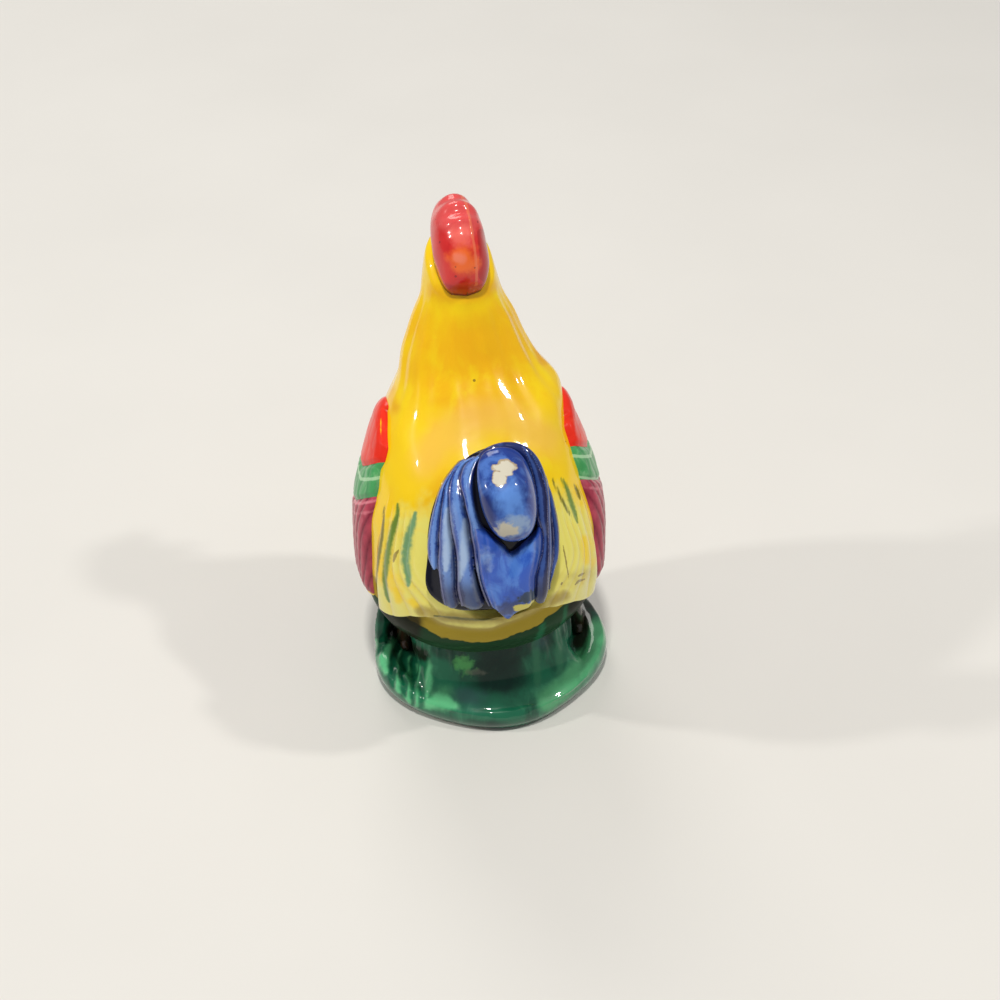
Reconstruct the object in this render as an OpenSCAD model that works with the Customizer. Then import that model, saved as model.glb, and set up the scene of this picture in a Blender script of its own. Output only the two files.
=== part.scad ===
// Ceramic rooster figurine, standing on a grassy mound.
// Each clay form is cast or pressed by itself and luted to its neighbours with slip,
// so every form here is a closed solid that ends in its own seat.
// The rooster looks along -Y, its left side is +X, and the mound rests on z = 0.

/* [Mound] */
// Width of the mound across the rooster
base_w = 45.2; // [44:0.2:48]
// Length of the mound from front to back
base_d = 43.4; // [42.4:0.2:46]
// How far the mound sits towards the rooster's right
base_shift = 1.9; // [0:0.1:3]
// Height of the rounded rim
rim_h = 6; // [5.5:0.1:7]
// Height of the flat floor inside the rim
floor_h = 4.4; // [4:0.1:5]
// Width of the rim
rim_w = 4; // [3.4:0.1:4.4]
// Depth of the grass grooves on the rim
grass_relief = 0.35; // [0.1:0.05:0.6]
// Diameter of the shallow recess in the foot
recess_d = 32; // [26:1:36]
// Depth of that recess
recess_h = 0.8; // [0.4:0.1:1.2]
// Diameter of the vent hole that lets the kiln gases out
vent_d = 7; // [5:0.5:9]

/* [Grass tuft] */
// Width of the tuft that carries the belly, as a share of the mound's width
tuft_w_share = 0.7; // [0.66:0.01:0.72]
// Length of the tuft from front to back, as a share of the mound's length
tuft_d_share = 0.69; // [0.66:0.01:0.71]
// Height of the belly's seat on top of the tuft
belly_z = 16.4; // [15.4:0.2:17.4]
// How far the blades flare at the floor, as a share of the tuft's width
tuft_flare_share = 0.16; // [0.05:0.01:0.17]
// Depth of the grooves between the blades
blade_relief = 0.6; // [0.3:0.1:0.8]
// Depth of the niche round each leg
niche_h = 2.6; // [2:0.1:3]

/* [Legs] */
// Thickness of a shank
shank_d = 3.2; // [2.8:0.1:3.6]
// Length of the front toe
toe_l = 4; // [3:0.25:5]

/* [Body] */
// Width of the body under the wings
body_w = 43; // [41:0.5:45]
// Width of the belly at its seat
belly_w = 34; // [33:0.5:36]
// Length of the belly at its seat
belly_d = 31; // [30:0.5:33]
// Length of the body from breast to rump
body_d = 49; // [47:0.5:51]
// Height of the body from the belly's seat to the neck's seat
body_h = 41.6; // [40.6:0.2:42.6]
// How far the right shoulder swells out under the neck
shoulder_swell = 1.4; // [0:0.1:1.6]
// Thickness of the cast wall
wall = 3; // [2.6:0.1:3.4]
// Diameter of the way between the hollow forms
throat_d = 14; // [10:1:16]

/* [Neck and head] */
// Width of the neck at its seat on the body
neck_root_w = 29; // [28:0.2:31]
// Width of the neck under the head
nape_w = 13.6; // [12.8:0.2:14.4]
// Length of the neck
neck_h = 18; // [17:0.5:19]
// Width of the head over the cheeks
head_w = 12.2; // [11.6:0.2:13.2]
// Length of the head from its face to its nape
head_d = 14; // [13:0.25:15]
// Height of the head above the neck
head_h = 9.6; // [9:0.2:10.4]
// How far the head stands in front of the middle
head_reach = 16.5; // [15.5:0.25:17.5]
// How far the head turns to its left, in degrees
head_turn = 4; // [0:1:9]
// Depth of the folds between the hackle feathers
hackle_relief = 0.6; // [0.2:0.05:0.8]
// How far the head leans over to its left
head_lean = 1; // [0:0.1:2]

/* [Comb] */
// Length of the comb along the crown
comb_l = 18.2; // [17.4:0.2:19]
// Thickness of the comb
comb_w = 9.8; // [9:0.2:10.2]
// Height of the comb above its seat
comb_h = 10.4; // [9:0.2:11]
// Depth of the notches between the comb's points, as a share of its height
comb_notch_share = 0.05; // [0:0.01:0.1]

/* [Beak, wattles and eyes] */
// Length of the beak in front of the face
beak_l = 6.4; // [5.5:0.1:7]
// Width of the beak at the face
beak_w = 5.6; // [5:0.2:6.2]
// Height of the upper beak at the face
beak_h = 3.4; // [3:0.1:3.8]
// Length of a wattle
wattle_l = 8.4; // [7.6:0.2:9]
// Width of a wattle
wattle_w = 4.2; // [3.6:0.2:4.6]
// Thickness of a wattle
wattle_t = 2; // [1.6:0.1:2.4]
// Diameter of an eye
eye_d = 3; // [2.6:0.2:3.6]
// How far an eye stands out
eye_t = 0.6; // [0.5:0.05:0.8]

/* [Wings] */
// Height of the wing's top edge
wing_top = 57; // [55:0.5:57.5]
// Height of the wing's lower tip
wing_low = 18.5; // [18:0.5:22]
// Thickness of the wing above the body
wing_t = 1.6; // [1.2:0.1:2]
// Depth of the grooves between its feathers
wing_relief = 0.45; // [0.2:0.05:0.6]
// Height of the lower edge of the left wing's bar
left_bar_z = 40; // [38:0.1:42]
// Height of the lower edge of the right wing's bar
right_bar_z = 41; // [38:0.1:42]
// Height of a wing's bar
bar_h = 7.2; // [6:0.2:8]
// How much the bar climbs from the wing's middle to its rear edge
bar_rise = 5.8; // [4.6:0.1:7]

/* [Saddle] */
// Thickness of the saddle feathers above the rump
saddle_t = 1.2; // [1:0.1:1.5]
// Depth of the grooves between them
saddle_relief = 0.45; // [0.2:0.05:0.6]

/* [Tail] */
// Width of the tail over its feathers
tail_w = 24; // [23:0.2:25]
// Height of the tail along its seat
tail_l = 31; // [30:0.25:32]
// How far the tail's crown stands out from its seat
tail_h = 8.6; // [8:0.2:9.4]
// How far the crown sits towards the rooster's right
tail_shift = 2; // [0:0.1:2.4]
// Thickness of the feathers on the tail
plume_t = 1.5; // [1.2:0.1:1.8]
// Depth of the grooves between these feathers
plume_relief = 0.5; // [0.3:0.05:0.7]
// Width of the curled sickle feather
sickle_w = 9.4; // [8.6:0.2:10.4]
// Length of the curled sickle feather
sickle_l = 15.4; // [14.6:0.2:16.2]
// Thickness of the curled sickle feather
sickle_t = 4; // [3.2:0.2:4.6]

/* [Joints] */
// Slip left between two curved forms
slip = 0.15; // [0.1:0.01:0.25]

/* [Hidden] */

yellow = [1, 0.77, 0.05];
pale_yellow = [0.96, 0.88, 0.38];
orange = [0.97, 0.58, 0.08];
red = [0.88, 0.2, 0.17];
green = [0.08, 0.45, 0.27];
light_green = [0.35, 0.72, 0.47];
pink = [0.78, 0.3, 0.4];
blue = [0.16, 0.27, 0.66];
navy = [0.1, 0.11, 0.28];
brown = [0.22, 0.12, 0.08];
black = [0.04, 0.04, 0.04];

overrun = 1;        // how far a cutter passes the face that it cuts
probe = 0.05;       // step for the slope of a surface
thin = 0.5;         // thickness of a relief at its edge
body_sides = 40;
mound_sides = 72;
tuft_sides = 84;
tail_sides = 32;
comb_sides = 13;
small_sides = 12;

neck_z = belly_z + body_h;
head_z = neck_z + neck_h;
crown_z = head_z + head_h;
left = 1;
right = -1;

// Helpers for smooth outlines

function mix(a, b, t) = a + (b - a) * t;
function held(t) = min(max(t, 0), 1);
function ease(t) = let (c = held(t)) c * c * (3 - 2 * c);
function parted(t, low, high) = t < 0 ? low * t * t : high * t * t;

// The row where the span that holds a height begins
function span_at(rows, z, i = 0) =
    i >= len(rows) - 2 || z < rows[i + 1][0] ? i : span_at(rows, z, i + 1);

function row_slope(rows, i) =
    let (a = rows[max(i - 1, 0)], b = rows[min(i + 1, len(rows) - 1)]) (b - a) / (b[0] - a[0]);

// A smooth row between the given rows at height z
function row_at(rows, z) =
    let (
        i = span_at(rows, z), a = rows[i], b = rows[i + 1],
        d = b[0] - a[0], t = (z - a[0]) / d, t2 = t * t, t3 = t2 * t
    )
    a * (2 * t3 - 3 * t2 + 1) + row_slope(rows, i) * d * (t3 - 2 * t2 + t)
    + b * (3 * t2 - 2 * t3) + row_slope(rows, i + 1) * d * (t3 - t2);

// Helpers for solids

function flat(lists) = [for (l = lists) for (p = l) p];
function mean(points) =
    [for (k = [0:2]) [for (p = points) p[k]] * [for (p = points) 1] / len(points)];
function turned_2d(p, a) = [p[0] * cos(a) - p[1] * sin(a), p[0] * sin(a) + p[1] * cos(a)];
function steps(n) = [for (i = [0:n - 1]) i / (n - 1)];

// The angle of the right side that answers to an angle of the left side
function side_v(v, side) = side > 0 ? v : 180 - v;

// A grid's columns put in order from left to right, seen from outside
function on_side(grid, side) = side > 0 ? grid : [
    for (row = grid) [for (j = [len(row) - 1:-1:0]) row[j]]
];

// Closed skin over rings of equal length that run anticlockwise and climb
module skin(rings, joined = false, low_point, high_point) {
    n = len(rings[0]);
    m = len(rings);
    low = n * m;
    ends = [
        is_undef(low_point) ? mean(rings[0]) : low_point,
        is_undef(high_point) ? mean(rings[m - 1]) : high_point
    ];
    points = joined ? flat(rings) : concat(flat(rings), ends);
    sides = [
        for (k = [0:joined ? m - 1 : m - 2]) for (i = [0:n - 1])
            let (j = (i + 1) % n, a = k * n, b = (k + 1) % m * n)
            each [[a + i, b + i, b + j], [a + i, b + j, a + j]]
    ];
    caps = joined ? [] : [
        for (i = [0:n - 1])
            let (j = (i + 1) % n)
            each [[low, i, j], [low + 1, low - n + j, low - n + i]]
    ];
    polyhedron(points, concat(sides, caps), convexity = 6);
}

// Closed pad between an outer and an inner grid; rows climb and columns run right, seen from outside
module pad(outer, inner) {
    r = len(outer);
    c = len(outer[0]);
    half = r * c;
    front = [
        for (i = [0:r - 2]) for (j = [0:c - 2])
            let (k = i * c + j)
            each [[k, k + c, k + c + 1], [k, k + c + 1, k + 1]]
    ];
    back = [for (f = front) [f[2] + half, f[1] + half, f[0] + half]];
    rim = concat(
        [for (j = [0:c - 1]) j],
        [for (i = [1:r - 1]) i * c + c - 1],
        [for (j = [c - 2:-1:0]) (r - 1) * c + j],
        [for (i = [r - 2:-1:1]) i * c]
    );
    edge = [
        for (k = [0:len(rim) - 1])
            let (a = rim[k], b = rim[(k + 1) % len(rim)])
            each [[a, b, b + half], [a, b + half, a + half]]
    ];
    polyhedron(concat(flat(outer), flat(inner)), concat(front, back, edge), convexity = 6);
}

// Figure: body, neck and head share one outline, so each seats on the next

// Rows of shares: height, half width, depth of the widest point, front, rear
body_shares = [
    [0.035, 0.44, 0, 0.37, 0.36],
    [0.08, 0.474, 0, 0.4, 0.385],
    [0.15, 0.492, 0, 0.43, 0.435],
    [0.25, 0.5, 0, 0.455, 0.476],
    [0.41, 0.502, -0.01, 0.482, 0.496],
    [0.576, 0.49, -0.03, 0.5, 0.465],
    [0.73, 0.445, -0.065, 0.5, 0.395],
    [0.87, 0.392, -0.11, 0.485, 0.295]
];
// Rows of shares: height, then how far the width, the widest point, front and rear have come
// from the neck's seat to the head's seat
neck_shares = [
    [0, 0, 0, 0, 0],
    [0.18, 0.21, 0.2, 0.5, 0.274],
    [0.39, 0.4, 0.467, 1.16, 0.564],
    [0.67, 0.68, 0.733, 1.5, 0.806],
    [0.89, 0.93, 0.9, 1.4, 0.952],
    [1, 1, 1, 1, 1]
];
neck_root_shares = [-0.16, -0.46, 0.14];
// Rows of shares of the head's length, behind its middle
head_shares = [
    [0, 0, 0.094, -0.361, 0.584],
    [0.33, 0.49, 0.041, -0.484, 0.549],
    [0.67, 0.41, 0.024, -0.449, 0.461],
    [0.9, 0.27, 0.006, -0.309, 0.304],
    [1, 0.1, 0.006, -0.099, 0.111]
];
function head_y(share) = head_d * share - head_reach;
function neck_y(k, s) = mix(body_d * neck_root_shares[k], head_y(head_shares[0][k + 2]), s[k + 2]);
figure_rows = concat(
    [[belly_z, belly_w / 2, 0, -belly_d / 2, belly_d / 2]],
    [
        for (s = body_shares)
            [belly_z + body_h * s[0], body_w * s[1], body_d * s[2], -body_d * s[3], body_d * s[4]]
    ],
    [
        for (s = neck_shares)
            let (half = mix(neck_root_w, nape_w, s[1]) / 2)
            [neck_z + neck_h * s[0], half, neck_y(0, s), neck_y(1, s), neck_y(2, s)]
    ],
    [
        for (k = [1:len(head_shares) - 1])
            let (s = head_shares[k])
            [head_z + head_h * s[0], head_w * s[1], head_y(s[2]), head_y(s[3]), head_y(s[4])]
    ]
);

// Place and span of the swell in the right shoulder
swell_z = neck_z + neck_h * 0.02;
swell_span = neck_h * 0.19;

// A point of the outline drawn in by some amount, at height z and angle v: 0 is left, 90 is rear
function figure_at(z, v, by = 0) =
    let (
        r = row_at(figure_rows, z), s = sin(v),
        reach = (s > 0 ? r[4] - r[2] : r[2] - r[3]) - by,
        half = r[1] + (cos(v) < 0 ? shoulder_swell * exp(-pow((z - swell_z) / swell_span, 2)) : 0),
        p = [(half - by) * cos(v), r[2] + reach * s + head_reach],
        q = turned_2d(p, head_turn * ease((z - neck_z) / neck_h))
    )
    [q[0] + head_lean * ease((z - neck_z) / neck_h * 2), q[1] - head_reach, z];
function figure_normal(z, v) =
    let (
        along = figure_at(z, v + 1) - figure_at(z, v - 1),
        up = figure_at(min(z + probe, crown_z), v) - figure_at(max(z - probe, belly_z), v),
        n = cross(along, up)
    ) n / norm(n);
function figure_out(z, v, off) = figure_at(z, v) + figure_normal(z, v) * off;
function outline_ring(z, by = 0) =
    [for (i = [0:body_sides - 1]) figure_at(z, 360 * i / body_sides, by)];

// The tail's seat is a plane that leans back over the rump
seat_lean_angle = 25;
seat_q = [0, -sin(seat_lean_angle), cos(seat_lean_angle)];
seat_n = [0, cos(seat_lean_angle), sin(seat_lean_angle)];
seat_centre = [0, body_d * 0.349, belly_z + body_h * 0.723];
function behind_seat(p, inside) =
    let (d = (p - seat_centre) * seat_n + inside) d > 0 ? p - seat_n * d : p;
module seat_block() {
    translate(seat_centre) rotate([seat_lean_angle - 90, 0, 0])
        translate([-body_w / 2, -body_h, 0]) cube([body_w, 2 * body_h, body_d]);
}

// Everything on the head follows its turn and its lean
module on_head() {
    translate([head_lean, -head_reach, 0]) rotate([0, 0, head_turn]) children();
}

module body_shell() {
    level_shares = [0, 0.035, 0.08, 0.15, 0.24, 0.34, 0.44, 0.54, 0.63, 0.71, 0.79, 0.86, 0.93, 1];
    inner_shares = [1, 0.9, 0.78, 0.66, 0.52, 0.36, 0.2];
    outside = [for (l = level_shares) outline_ring(belly_z + body_h * l)];
    inside = [
        for (l = inner_shares)
            [for (p = outline_ring(belly_z + body_h * l, wall)) behind_seat(p, wall)]
    ];
    throat = [
        for (z = [belly_z + wall, belly_z])
            [
                for (p = outline_ring(z))
                    let (d = 2 * norm([p[0], p[1]]) / throat_d) [p[0] / d, p[1] / d, z]
            ]
    ];
    color(yellow) difference() {
        skin(concat(outside, inside, [outline_ring(belly_z + wall, 2 * wall)], throat), joined = true);
        seat_block();
    }
}

// Soft folds between the hackle feathers, shallower at the nape than at the sides
hackles = 10;
function hackle_fold(v) =
    hackle_relief * mix(0.45, 1, abs(cos(v))) * (1 - cos(hackles * v)) / 2;
module neck() {
    level_shares = [0, 0.18, 0.36, 0.54, 0.72, 0.88, 1];
    inner_shares = [1, 0.66, 0.33, 0];
    outside = [
        for (l = level_shares) [
            for (i = [0:body_sides - 1])
                let (v = 360 * i / body_sides)
                figure_at(neck_z + neck_h * l, v, hackle_fold(v) * sin(180 * l))
        ]
    ];
    inside = [for (l = inner_shares) outline_ring(neck_z + neck_h * l, wall)];
    color(yellow) skin(concat(outside, inside), joined = true);
}

// The comb's seat slopes down to the nape, and the face is cut flat for the beak and wattles
comb_slope_angle = 30;
comb_start = [0, -head_d * 0.4, head_z + head_h * 0.8];
face_y = -head_d * 0.392;
module comb_frame() {
    translate(comb_start) rotate([-comb_slope_angle, 0, 0]) children();
}

module head() {
    level_shares = [0, 0.14, 0.3, 0.46, 0.62, 0.76, 0.88, 0.96, 1];
    color(yellow) difference() {
        skin([for (l = level_shares) outline_ring(head_z + head_h * l)]);
        on_head() comb_frame() translate([-head_w, -head_h, 0])
            cube([2 * head_w, 3 * head_h, 2 * head_h]);
        on_head() translate([-head_w, face_y - head_w, head_z - overrun])
            cube([2 * head_w, head_w, 2 * head_h]);
    }
}

module comb() {
    // Rows of shares: place along the comb, width, height
    comb_shares = [
        [0, 0.3, 0.3], [0.05, 0.52, 0.52], [0.16, 0.73, 0.78], [0.34, 0.92, 0.96], [0.55, 1, 1],
        [0.76, 0.98, 0.86], [0.9, 0.82, 0.62], [0.97, 0.6, 0.42], [1, 0.34, 0.26]
    ];
    points = 5;
    lead_share = 0.165;
    stations = [for (i = [0:4 * points]) i / (4 * points)];
    arc = [for (i = [0:comb_sides - 1]) 180 * i / (comb_sides - 1)];
    rings = [
        for (u = stations)
            let (
                r = row_at(comb_shares, u),
                tip = 1 - comb_notch_share * (1 - u) * (1 + cos(360 * points * u)),
                half = comb_w / 2 * r[1], rise = comb_h * r[2]
            )
            [
                for (a = arc)
                    let (bulge = mix(0.86, 1, ease(sin(a) * 3)), top = pow(sin(a), 0.75))
                    [-half * bulge * cos(a), comb_l * (u - lead_share), rise * top * mix(1, tip, top)]
            ]
    ];
    color(red) on_head() comb_frame() skin(rings);
}

// Half of a round bill with a flat gape, tapering from the face to its tip
module bill(length, half, height, hook) {
    // Rows of shares: place along the bill, width, height
    bill_shares = [[0, 1, 1], [0.3, 0.92, 0.95], [0.62, 0.66, 0.74], [0.88, 0.34, 0.42], [1, 0.1, 0.14]];
    arc = [for (i = [0:small_sides - 1]) 180 * i / (small_sides - 1)];
    rings = [
        for (s = bill_shares)
            let (y = -length * s[0], sag = hook * s[0] * s[0])
            [for (a = arc) [half * s[1] * cos(a), y, height * s[2] * sin(a) - sag]]
    ];
    skin(rings);
}
gape_z = head_z + head_h * 0.36;
bill_gap = 0.1;
module upper_beak() {
    color(orange) on_head() translate([0, face_y, gape_z]) bill(beak_l, beak_w / 2, beak_h, beak_h * 0.3);
}
module lower_beak() {
    color(orange) on_head() translate([0, face_y, gape_z - bill_gap]) mirror([0, 0, 1])
        bill(beak_l * 0.7, beak_w * 0.42, beak_h * 0.55, -beak_h * 0.1);
}

module wattle(side) {
    // Rows of shares: height, width, thickness
    wattle_shares = [
        [0, 0.3, 0.5], [0.12, 0.72, 0.9], [0.3, 1, 1], [0.55, 0.86, 0.95], [0.8, 0.55, 0.75], [1, 0.3, 0.5]
    ];
    low = gape_z - beak_h * 0.66 - wattle_l;
    rings = [
        for (s = wattle_shares)
            [
                for (i = [0:small_sides - 1])
                    let (a = 360 * i / small_sides)
                    [wattle_w / 2 * s[1] * cos(a), wattle_t / 2 * (s[2] * sin(a) - 1), low + wattle_l * s[0]]
            ]
    ];
    color(red) on_head() translate([side * wattle_w * 0.56, face_y - slip, 0]) skin(rings);
}
module left_wattle() { wattle(left); }
module right_wattle() { wattle(right); }

// Eyes sit on the cheeks, each a small dome, this far round from the widest place
eye_angle = 57;
module eye(side) {
    z = head_z + head_h * 0.4;
    v = side_v(-eye_angle, side);
    grid = 5;
    function eye_grid(dome) = [
        for (a = steps(grid)) [
            for (b = steps(grid))
                let (
                    p = 2 * a - 1, q = 2 * b - 1,
                    x = q * sqrt(1 - p * p / 2), y = p * sqrt(1 - q * q / 2),
                    lift = dome ? slip + thin / 2 + (eye_t - thin / 2) * (1 - x * x / 2 - y * y / 2) : slip
                )
                figure_out(z + y * eye_d / 2, v + x * eye_d / head_w * 180 / PI, lift)
        ]
    ];
    color(black) pad(eye_grid(true), eye_grid(false));
}
module left_eye() { eye(left); }
module right_eye() { eye(right); }

// Wings: three reliefs on the body's side, where u runs from the front edge to the rear edge

wing_front_angle = -50;
wing_rear_angle = 21;
function wing_v(u) = mix(wing_front_angle, wing_rear_angle, u);
crest_share = 0.748;
tip_share = 0.672;
function wing_high(u) = wing_top - (wing_top - wing_low) * parted(u / crest_share - 1, 0.31, 0.88);
function wing_lowest(u) = wing_low + (wing_top - wing_low) * parted(u / tip_share - 1, 0.23, 0.78);
function bar_low(u, side) =
    let (v = wing_v(u) / wing_rear_angle)
    (side > 0 ? left_bar_z : right_bar_z) + bar_rise * (v > 0 ? v : v * 0.4);
function bar_high(u, side) = bar_low(u, side) + bar_h * mix(1.1, 0.74, u);

// A relief between two edges of the wing; feathers is the count across it, 0 for scales
function wing_grid(side, low, high, rows, columns, open_low, open_high, feathers, dome) = [
    for (s = steps(rows)) [
        for (k = [0:columns - 1])
            let (
                u = k / (columns - 1),
                edge = min(
                    held(u * 5), held((1 - u) * 5),
                    open_low ? held(s * 4) : 1, open_high ? held((1 - s) * 4) : 1
                ),
                groove = feathers ? k % 2 * wing_relief : (round(s * (rows - 1)) + k) % 2 * wing_relief,
                off = dome ? slip + thin + (wing_t - thin - groove) * sqrt(edge) : slip
            )
            figure_out(mix(low(u), high(u), s), side_v(wing_v(u), side), off)
    ]
];
module wing_relief_pad(side, low, high, rows, columns, open_low, open_high, feathers) {
    pad(
        on_side(wing_grid(side, low, high, rows, columns, open_low, open_high, feathers, true), side),
        on_side(wing_grid(side, low, high, rows, columns, open_low, open_high, feathers, false), side)
    );
}
module wing_shoulder(side) {
    low = function(u) bar_high(u, side) + slip / 2;
    high = function(u) max(wing_high(u), bar_high(u, side) + 2 * thin);
    color(red) wing_relief_pad(side, low, high, 5, 11, false, true, false);
}
module wing_bar(side) {
    low = function(u) bar_low(u, side) + slip / 2;
    high = function(u) bar_high(u, side) - slip / 2;
    color(light_green) wing_relief_pad(side, low, high, 3, 13, false, false, true);
}
module wing_primaries(side) {
    low = function(u) wing_lowest(u);
    high = function(u) bar_low(u, side) - slip / 2;
    color(pink) wing_relief_pad(side, low, high, 7, 13, true, false, true);
}
module left_wing_shoulder() { wing_shoulder(left); }
module right_wing_shoulder() { wing_shoulder(right); }
module left_wing_bar() { wing_bar(left); }
module right_wing_bar() { wing_bar(right); }
module left_wing_primaries() { wing_primaries(left); }
module right_wing_primaries() { wing_primaries(right); }

// Saddle feathers hang from the back round the tail and end in a lip over the rump

saddle_gap_angle = 2;
saddle_rows = 14;
saddle_middle_angle = 89.6;
saddle_side_angle = 57;
saddle_low = belly_z + body_h * 0.2;
saddle_rear_low = belly_z + body_h * 0.4;
saddle_high = belly_z + body_h * 0.86;
function saddle_first(z) =
    wing_rear_angle + saddle_gap_angle * mix(1, 2, (z - saddle_low) / (saddle_high - saddle_low));
function saddle_fork(s) = ease(s * 9);
function saddle_last(s) = mix(saddle_middle_angle, saddle_side_angle, saddle_fork(s));
function saddle_grid(side, dome) = [
    for (i = [0:saddle_rows]) [
        for (k = [0:12])
            let (
                s = pow(i / saddle_rows, 1.8),
                z = mix(mix(saddle_low, saddle_rear_low, ease(k / 9)), saddle_high, s),
                edge = min(held(k / 2), held((1 - s) * 3), held((12 - k) + 1 - saddle_fork(s))),
                groove = k % 2 * saddle_relief * (1 - (1 - saddle_fork(s)) * k / 12),
                off = dome ? slip + thin + (saddle_t - thin - groove) * edge : slip
            )
            figure_out(z, side_v(mix(saddle_first(z), saddle_last(s), k / 12), side), off)
    ]
];
module saddle_feathers(side) {
    color(pale_yellow) pad(on_side(saddle_grid(side, true), side), on_side(saddle_grid(side, false), side));
}
module left_saddle_feathers() { saddle_feathers(left); }
module right_saddle_feathers() { saddle_feathers(right); }

// Tail: a core on the slanted seat that carries the feathers, the plume and the curled sickle

// A point of the tail: a towards the rooster's right, q up the seat, h out from the seat
function tail_point(a, q, h) = seat_centre - [a, 0, 0] + seat_q * q + seat_n * h;

hem_rise = tail_l * 0.07;
core_w = tail_w - 2 * plume_t;
core_l = tail_l - plume_t;
bend_q = -core_l * 0.2;     // where the sides end and the round top begins
function tail_half(q) =
    let (t = q > bend_q ? (q - bend_q) / (core_l / 2 - bend_q) : (bend_q - q) / (bend_q + core_l / 2) * 0.38)
    core_w / 2 * sqrt(max(0, 1 - t * t));
function tail_side(q, side) = tail_half(q) * (1 - side * 2 * tail_shift / core_w);
function tail_edge(q) = tail_h * mix(0.24, 0.5, held(q / core_l + 0.5));

// Height of the core's round face over the seat
function tail_face(a, q) =
    let (
        b = a - tail_shift, u = abs(b) / max(probe, tail_side(q, sign(b))), e = tail_edge(q),
        ends = 1 - pow(abs(2 * q / core_l), 4)
    )
    e + (tail_h - e) * (1 - pow(min(u, 1), 2.4)) * max(0, ends) * mix(0.5, 1, ease(q / core_l + 0.6));
function tail_skin(a, q, off) =
    let (
        p = tail_point(a, q, tail_face(a, q)),
        rise_a = tail_face(a + probe, q) - tail_face(a - probe, q),
        rise_q = tail_face(a, q + probe) - tail_face(a, q - probe),
        along = tail_point(2 * probe, 0, rise_a) - seat_centre,
        up = tail_point(0, 2 * probe, rise_q) - seat_centre,
        n = cross(along, up)
    )
    p + n / norm(n) * off;

function tail_outline(t) =
    let (s = sin(t), q = core_l / 2 * (s > 0 ? s : -pow(-s, 0.8)), c = cos(t))
    [
        tail_shift + (c > 0 ? core_w / 2 - tail_shift : core_w / 2 + tail_shift) * sign(c)
        * (s > 0 ? abs(c) : pow(abs(c), 0.75)) * mix(1, 0.94, abs(s)),
        q
    ];

module tail_core() {
    // Rows of shares: height, width, length, shift down the seat
    root_shares = [
        [0, 0.66, 0.56, -0.14], [0.3, 0.82, 0.74, -0.09],
        [0.62, 0.94, 0.89, -0.035], [0.88, 0.995, 0.98, -0.006]
    ];
    face_shares = [1, 0.9, 0.74, 0.52, 0.26];
    angles = [for (i = [0:tail_sides - 1]) 360 * i / tail_sides];
    root = [
        for (r = root_shares)
            [
                for (t = angles)
                    let (o = tail_outline(t))
                    tail_point(o[0] * r[1], o[1] * r[2] + core_l * r[3], tail_edge(o[1]) * r[0])
            ]
    ];
    face = [
        for (s = face_shares)
            [
                for (t = angles)
                    let (o = tail_outline(t), a = mix(tail_shift, o[0], s), q = o[1] * s)
                    tail_point(a, q, s == 1 ? tail_edge(q) : tail_face(a, q))
            ]
    ];
    color(navy) skin(concat(root, face), high_point = tail_point(tail_shift, 0, tail_face(tail_shift, 0)));
}

// Feathers between two sides of the tail; their hem rises away from the plume's tip
function tail_grid(first, last, low_q, high_q, rows, columns, relief, tip, dome) = [
    for (s = steps(rows)) [
        for (k = [0:columns - 1])
            let (
                u = mix(first, last, k / (columns - 1)),
                drop = tip * (1 - abs(2 * k / (columns - 1) - 1)),
                q = mix(low_q + hem_rise * pow(abs(u), 3) - drop, high_q, s),
                b = u * tail_side(q, sign(u)),
                edge = held(min(s, 1 - s) * 5 + 0.35),
                off = dome ? slip + thin + (plume_t - thin - k % 2 * relief) * edge : slip
            )
            tail_skin(b + tail_shift, q, off)
    ]
];
module left_tail_feathers() {
    low = -core_l * 0.47;
    high = core_l * 0.44;
    color(blue) pad(
        tail_grid(-0.97, -0.36, low, high, 9, 9, plume_relief, 0, true),
        tail_grid(-0.97, -0.36, low, high, 9, 9, plume_relief, 0, false)
    );
}
module right_tail_feathers() {
    low = -core_l * 0.47;
    high = core_l * 0.44;
    color(blue) pad(
        tail_grid(0.46, 0.97, low, high, 9, 7, plume_relief, 0, true),
        tail_grid(0.46, 0.97, low, high, 9, 7, plume_relief, 0, false)
    );
}
module tail_plume() {
    low = -core_l * 0.475;
    high = -core_l * 0.02;
    tip_drop = core_l * 0.07;
    color(blue) pad(
        tail_grid(-0.34, 0.44, low, high, 7, 9, 0, tip_drop, true),
        tail_grid(-0.34, 0.44, low, high, 7, 9, 0, tip_drop, false)
    );
}

sickle_q = core_l * 0.25;
sickle_a = tail_shift + sickle_w * 0.05;
function sickle_ring(share, off, base) = [
    for (i = [0:tail_sides - 1])
        let (
            t = 360 * i / tail_sides,
            a = sickle_w / 2 * cos(t), q = sickle_l / 2 * sin(t),
            h = tail_face(sickle_a + a * min(share, base), sickle_q + q * min(share, base))
        )
        tail_point(sickle_a + a * share, sickle_q + q * share, h + off)
];
module tail_sickle() {
    foot_share = 0.7;
    top = plume_t + 2 * slip;
    // Rows of shares: width, height
    bulb_shares = [[1, 0.12], [1.02, 0.36], [0.94, 0.62], [0.76, 0.84], [0.48, 0.97]];
    foot = [for (s = [0.35, foot_share]) sickle_ring(s, slip, foot_share)];
    bulb = [for (s = bulb_shares) sickle_ring(s[0], top + sickle_t * s[1], foot_share)];
    low_point = tail_point(sickle_a, sickle_q, tail_face(sickle_a, sickle_q) + slip);
    color(blue) skin(concat(foot, [sickle_ring(foot_share, top, foot_share)], bulb), low_point = low_point);
}

// Mound with its rounded grassy rim, a flat floor, a recessed foot and a vent

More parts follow.
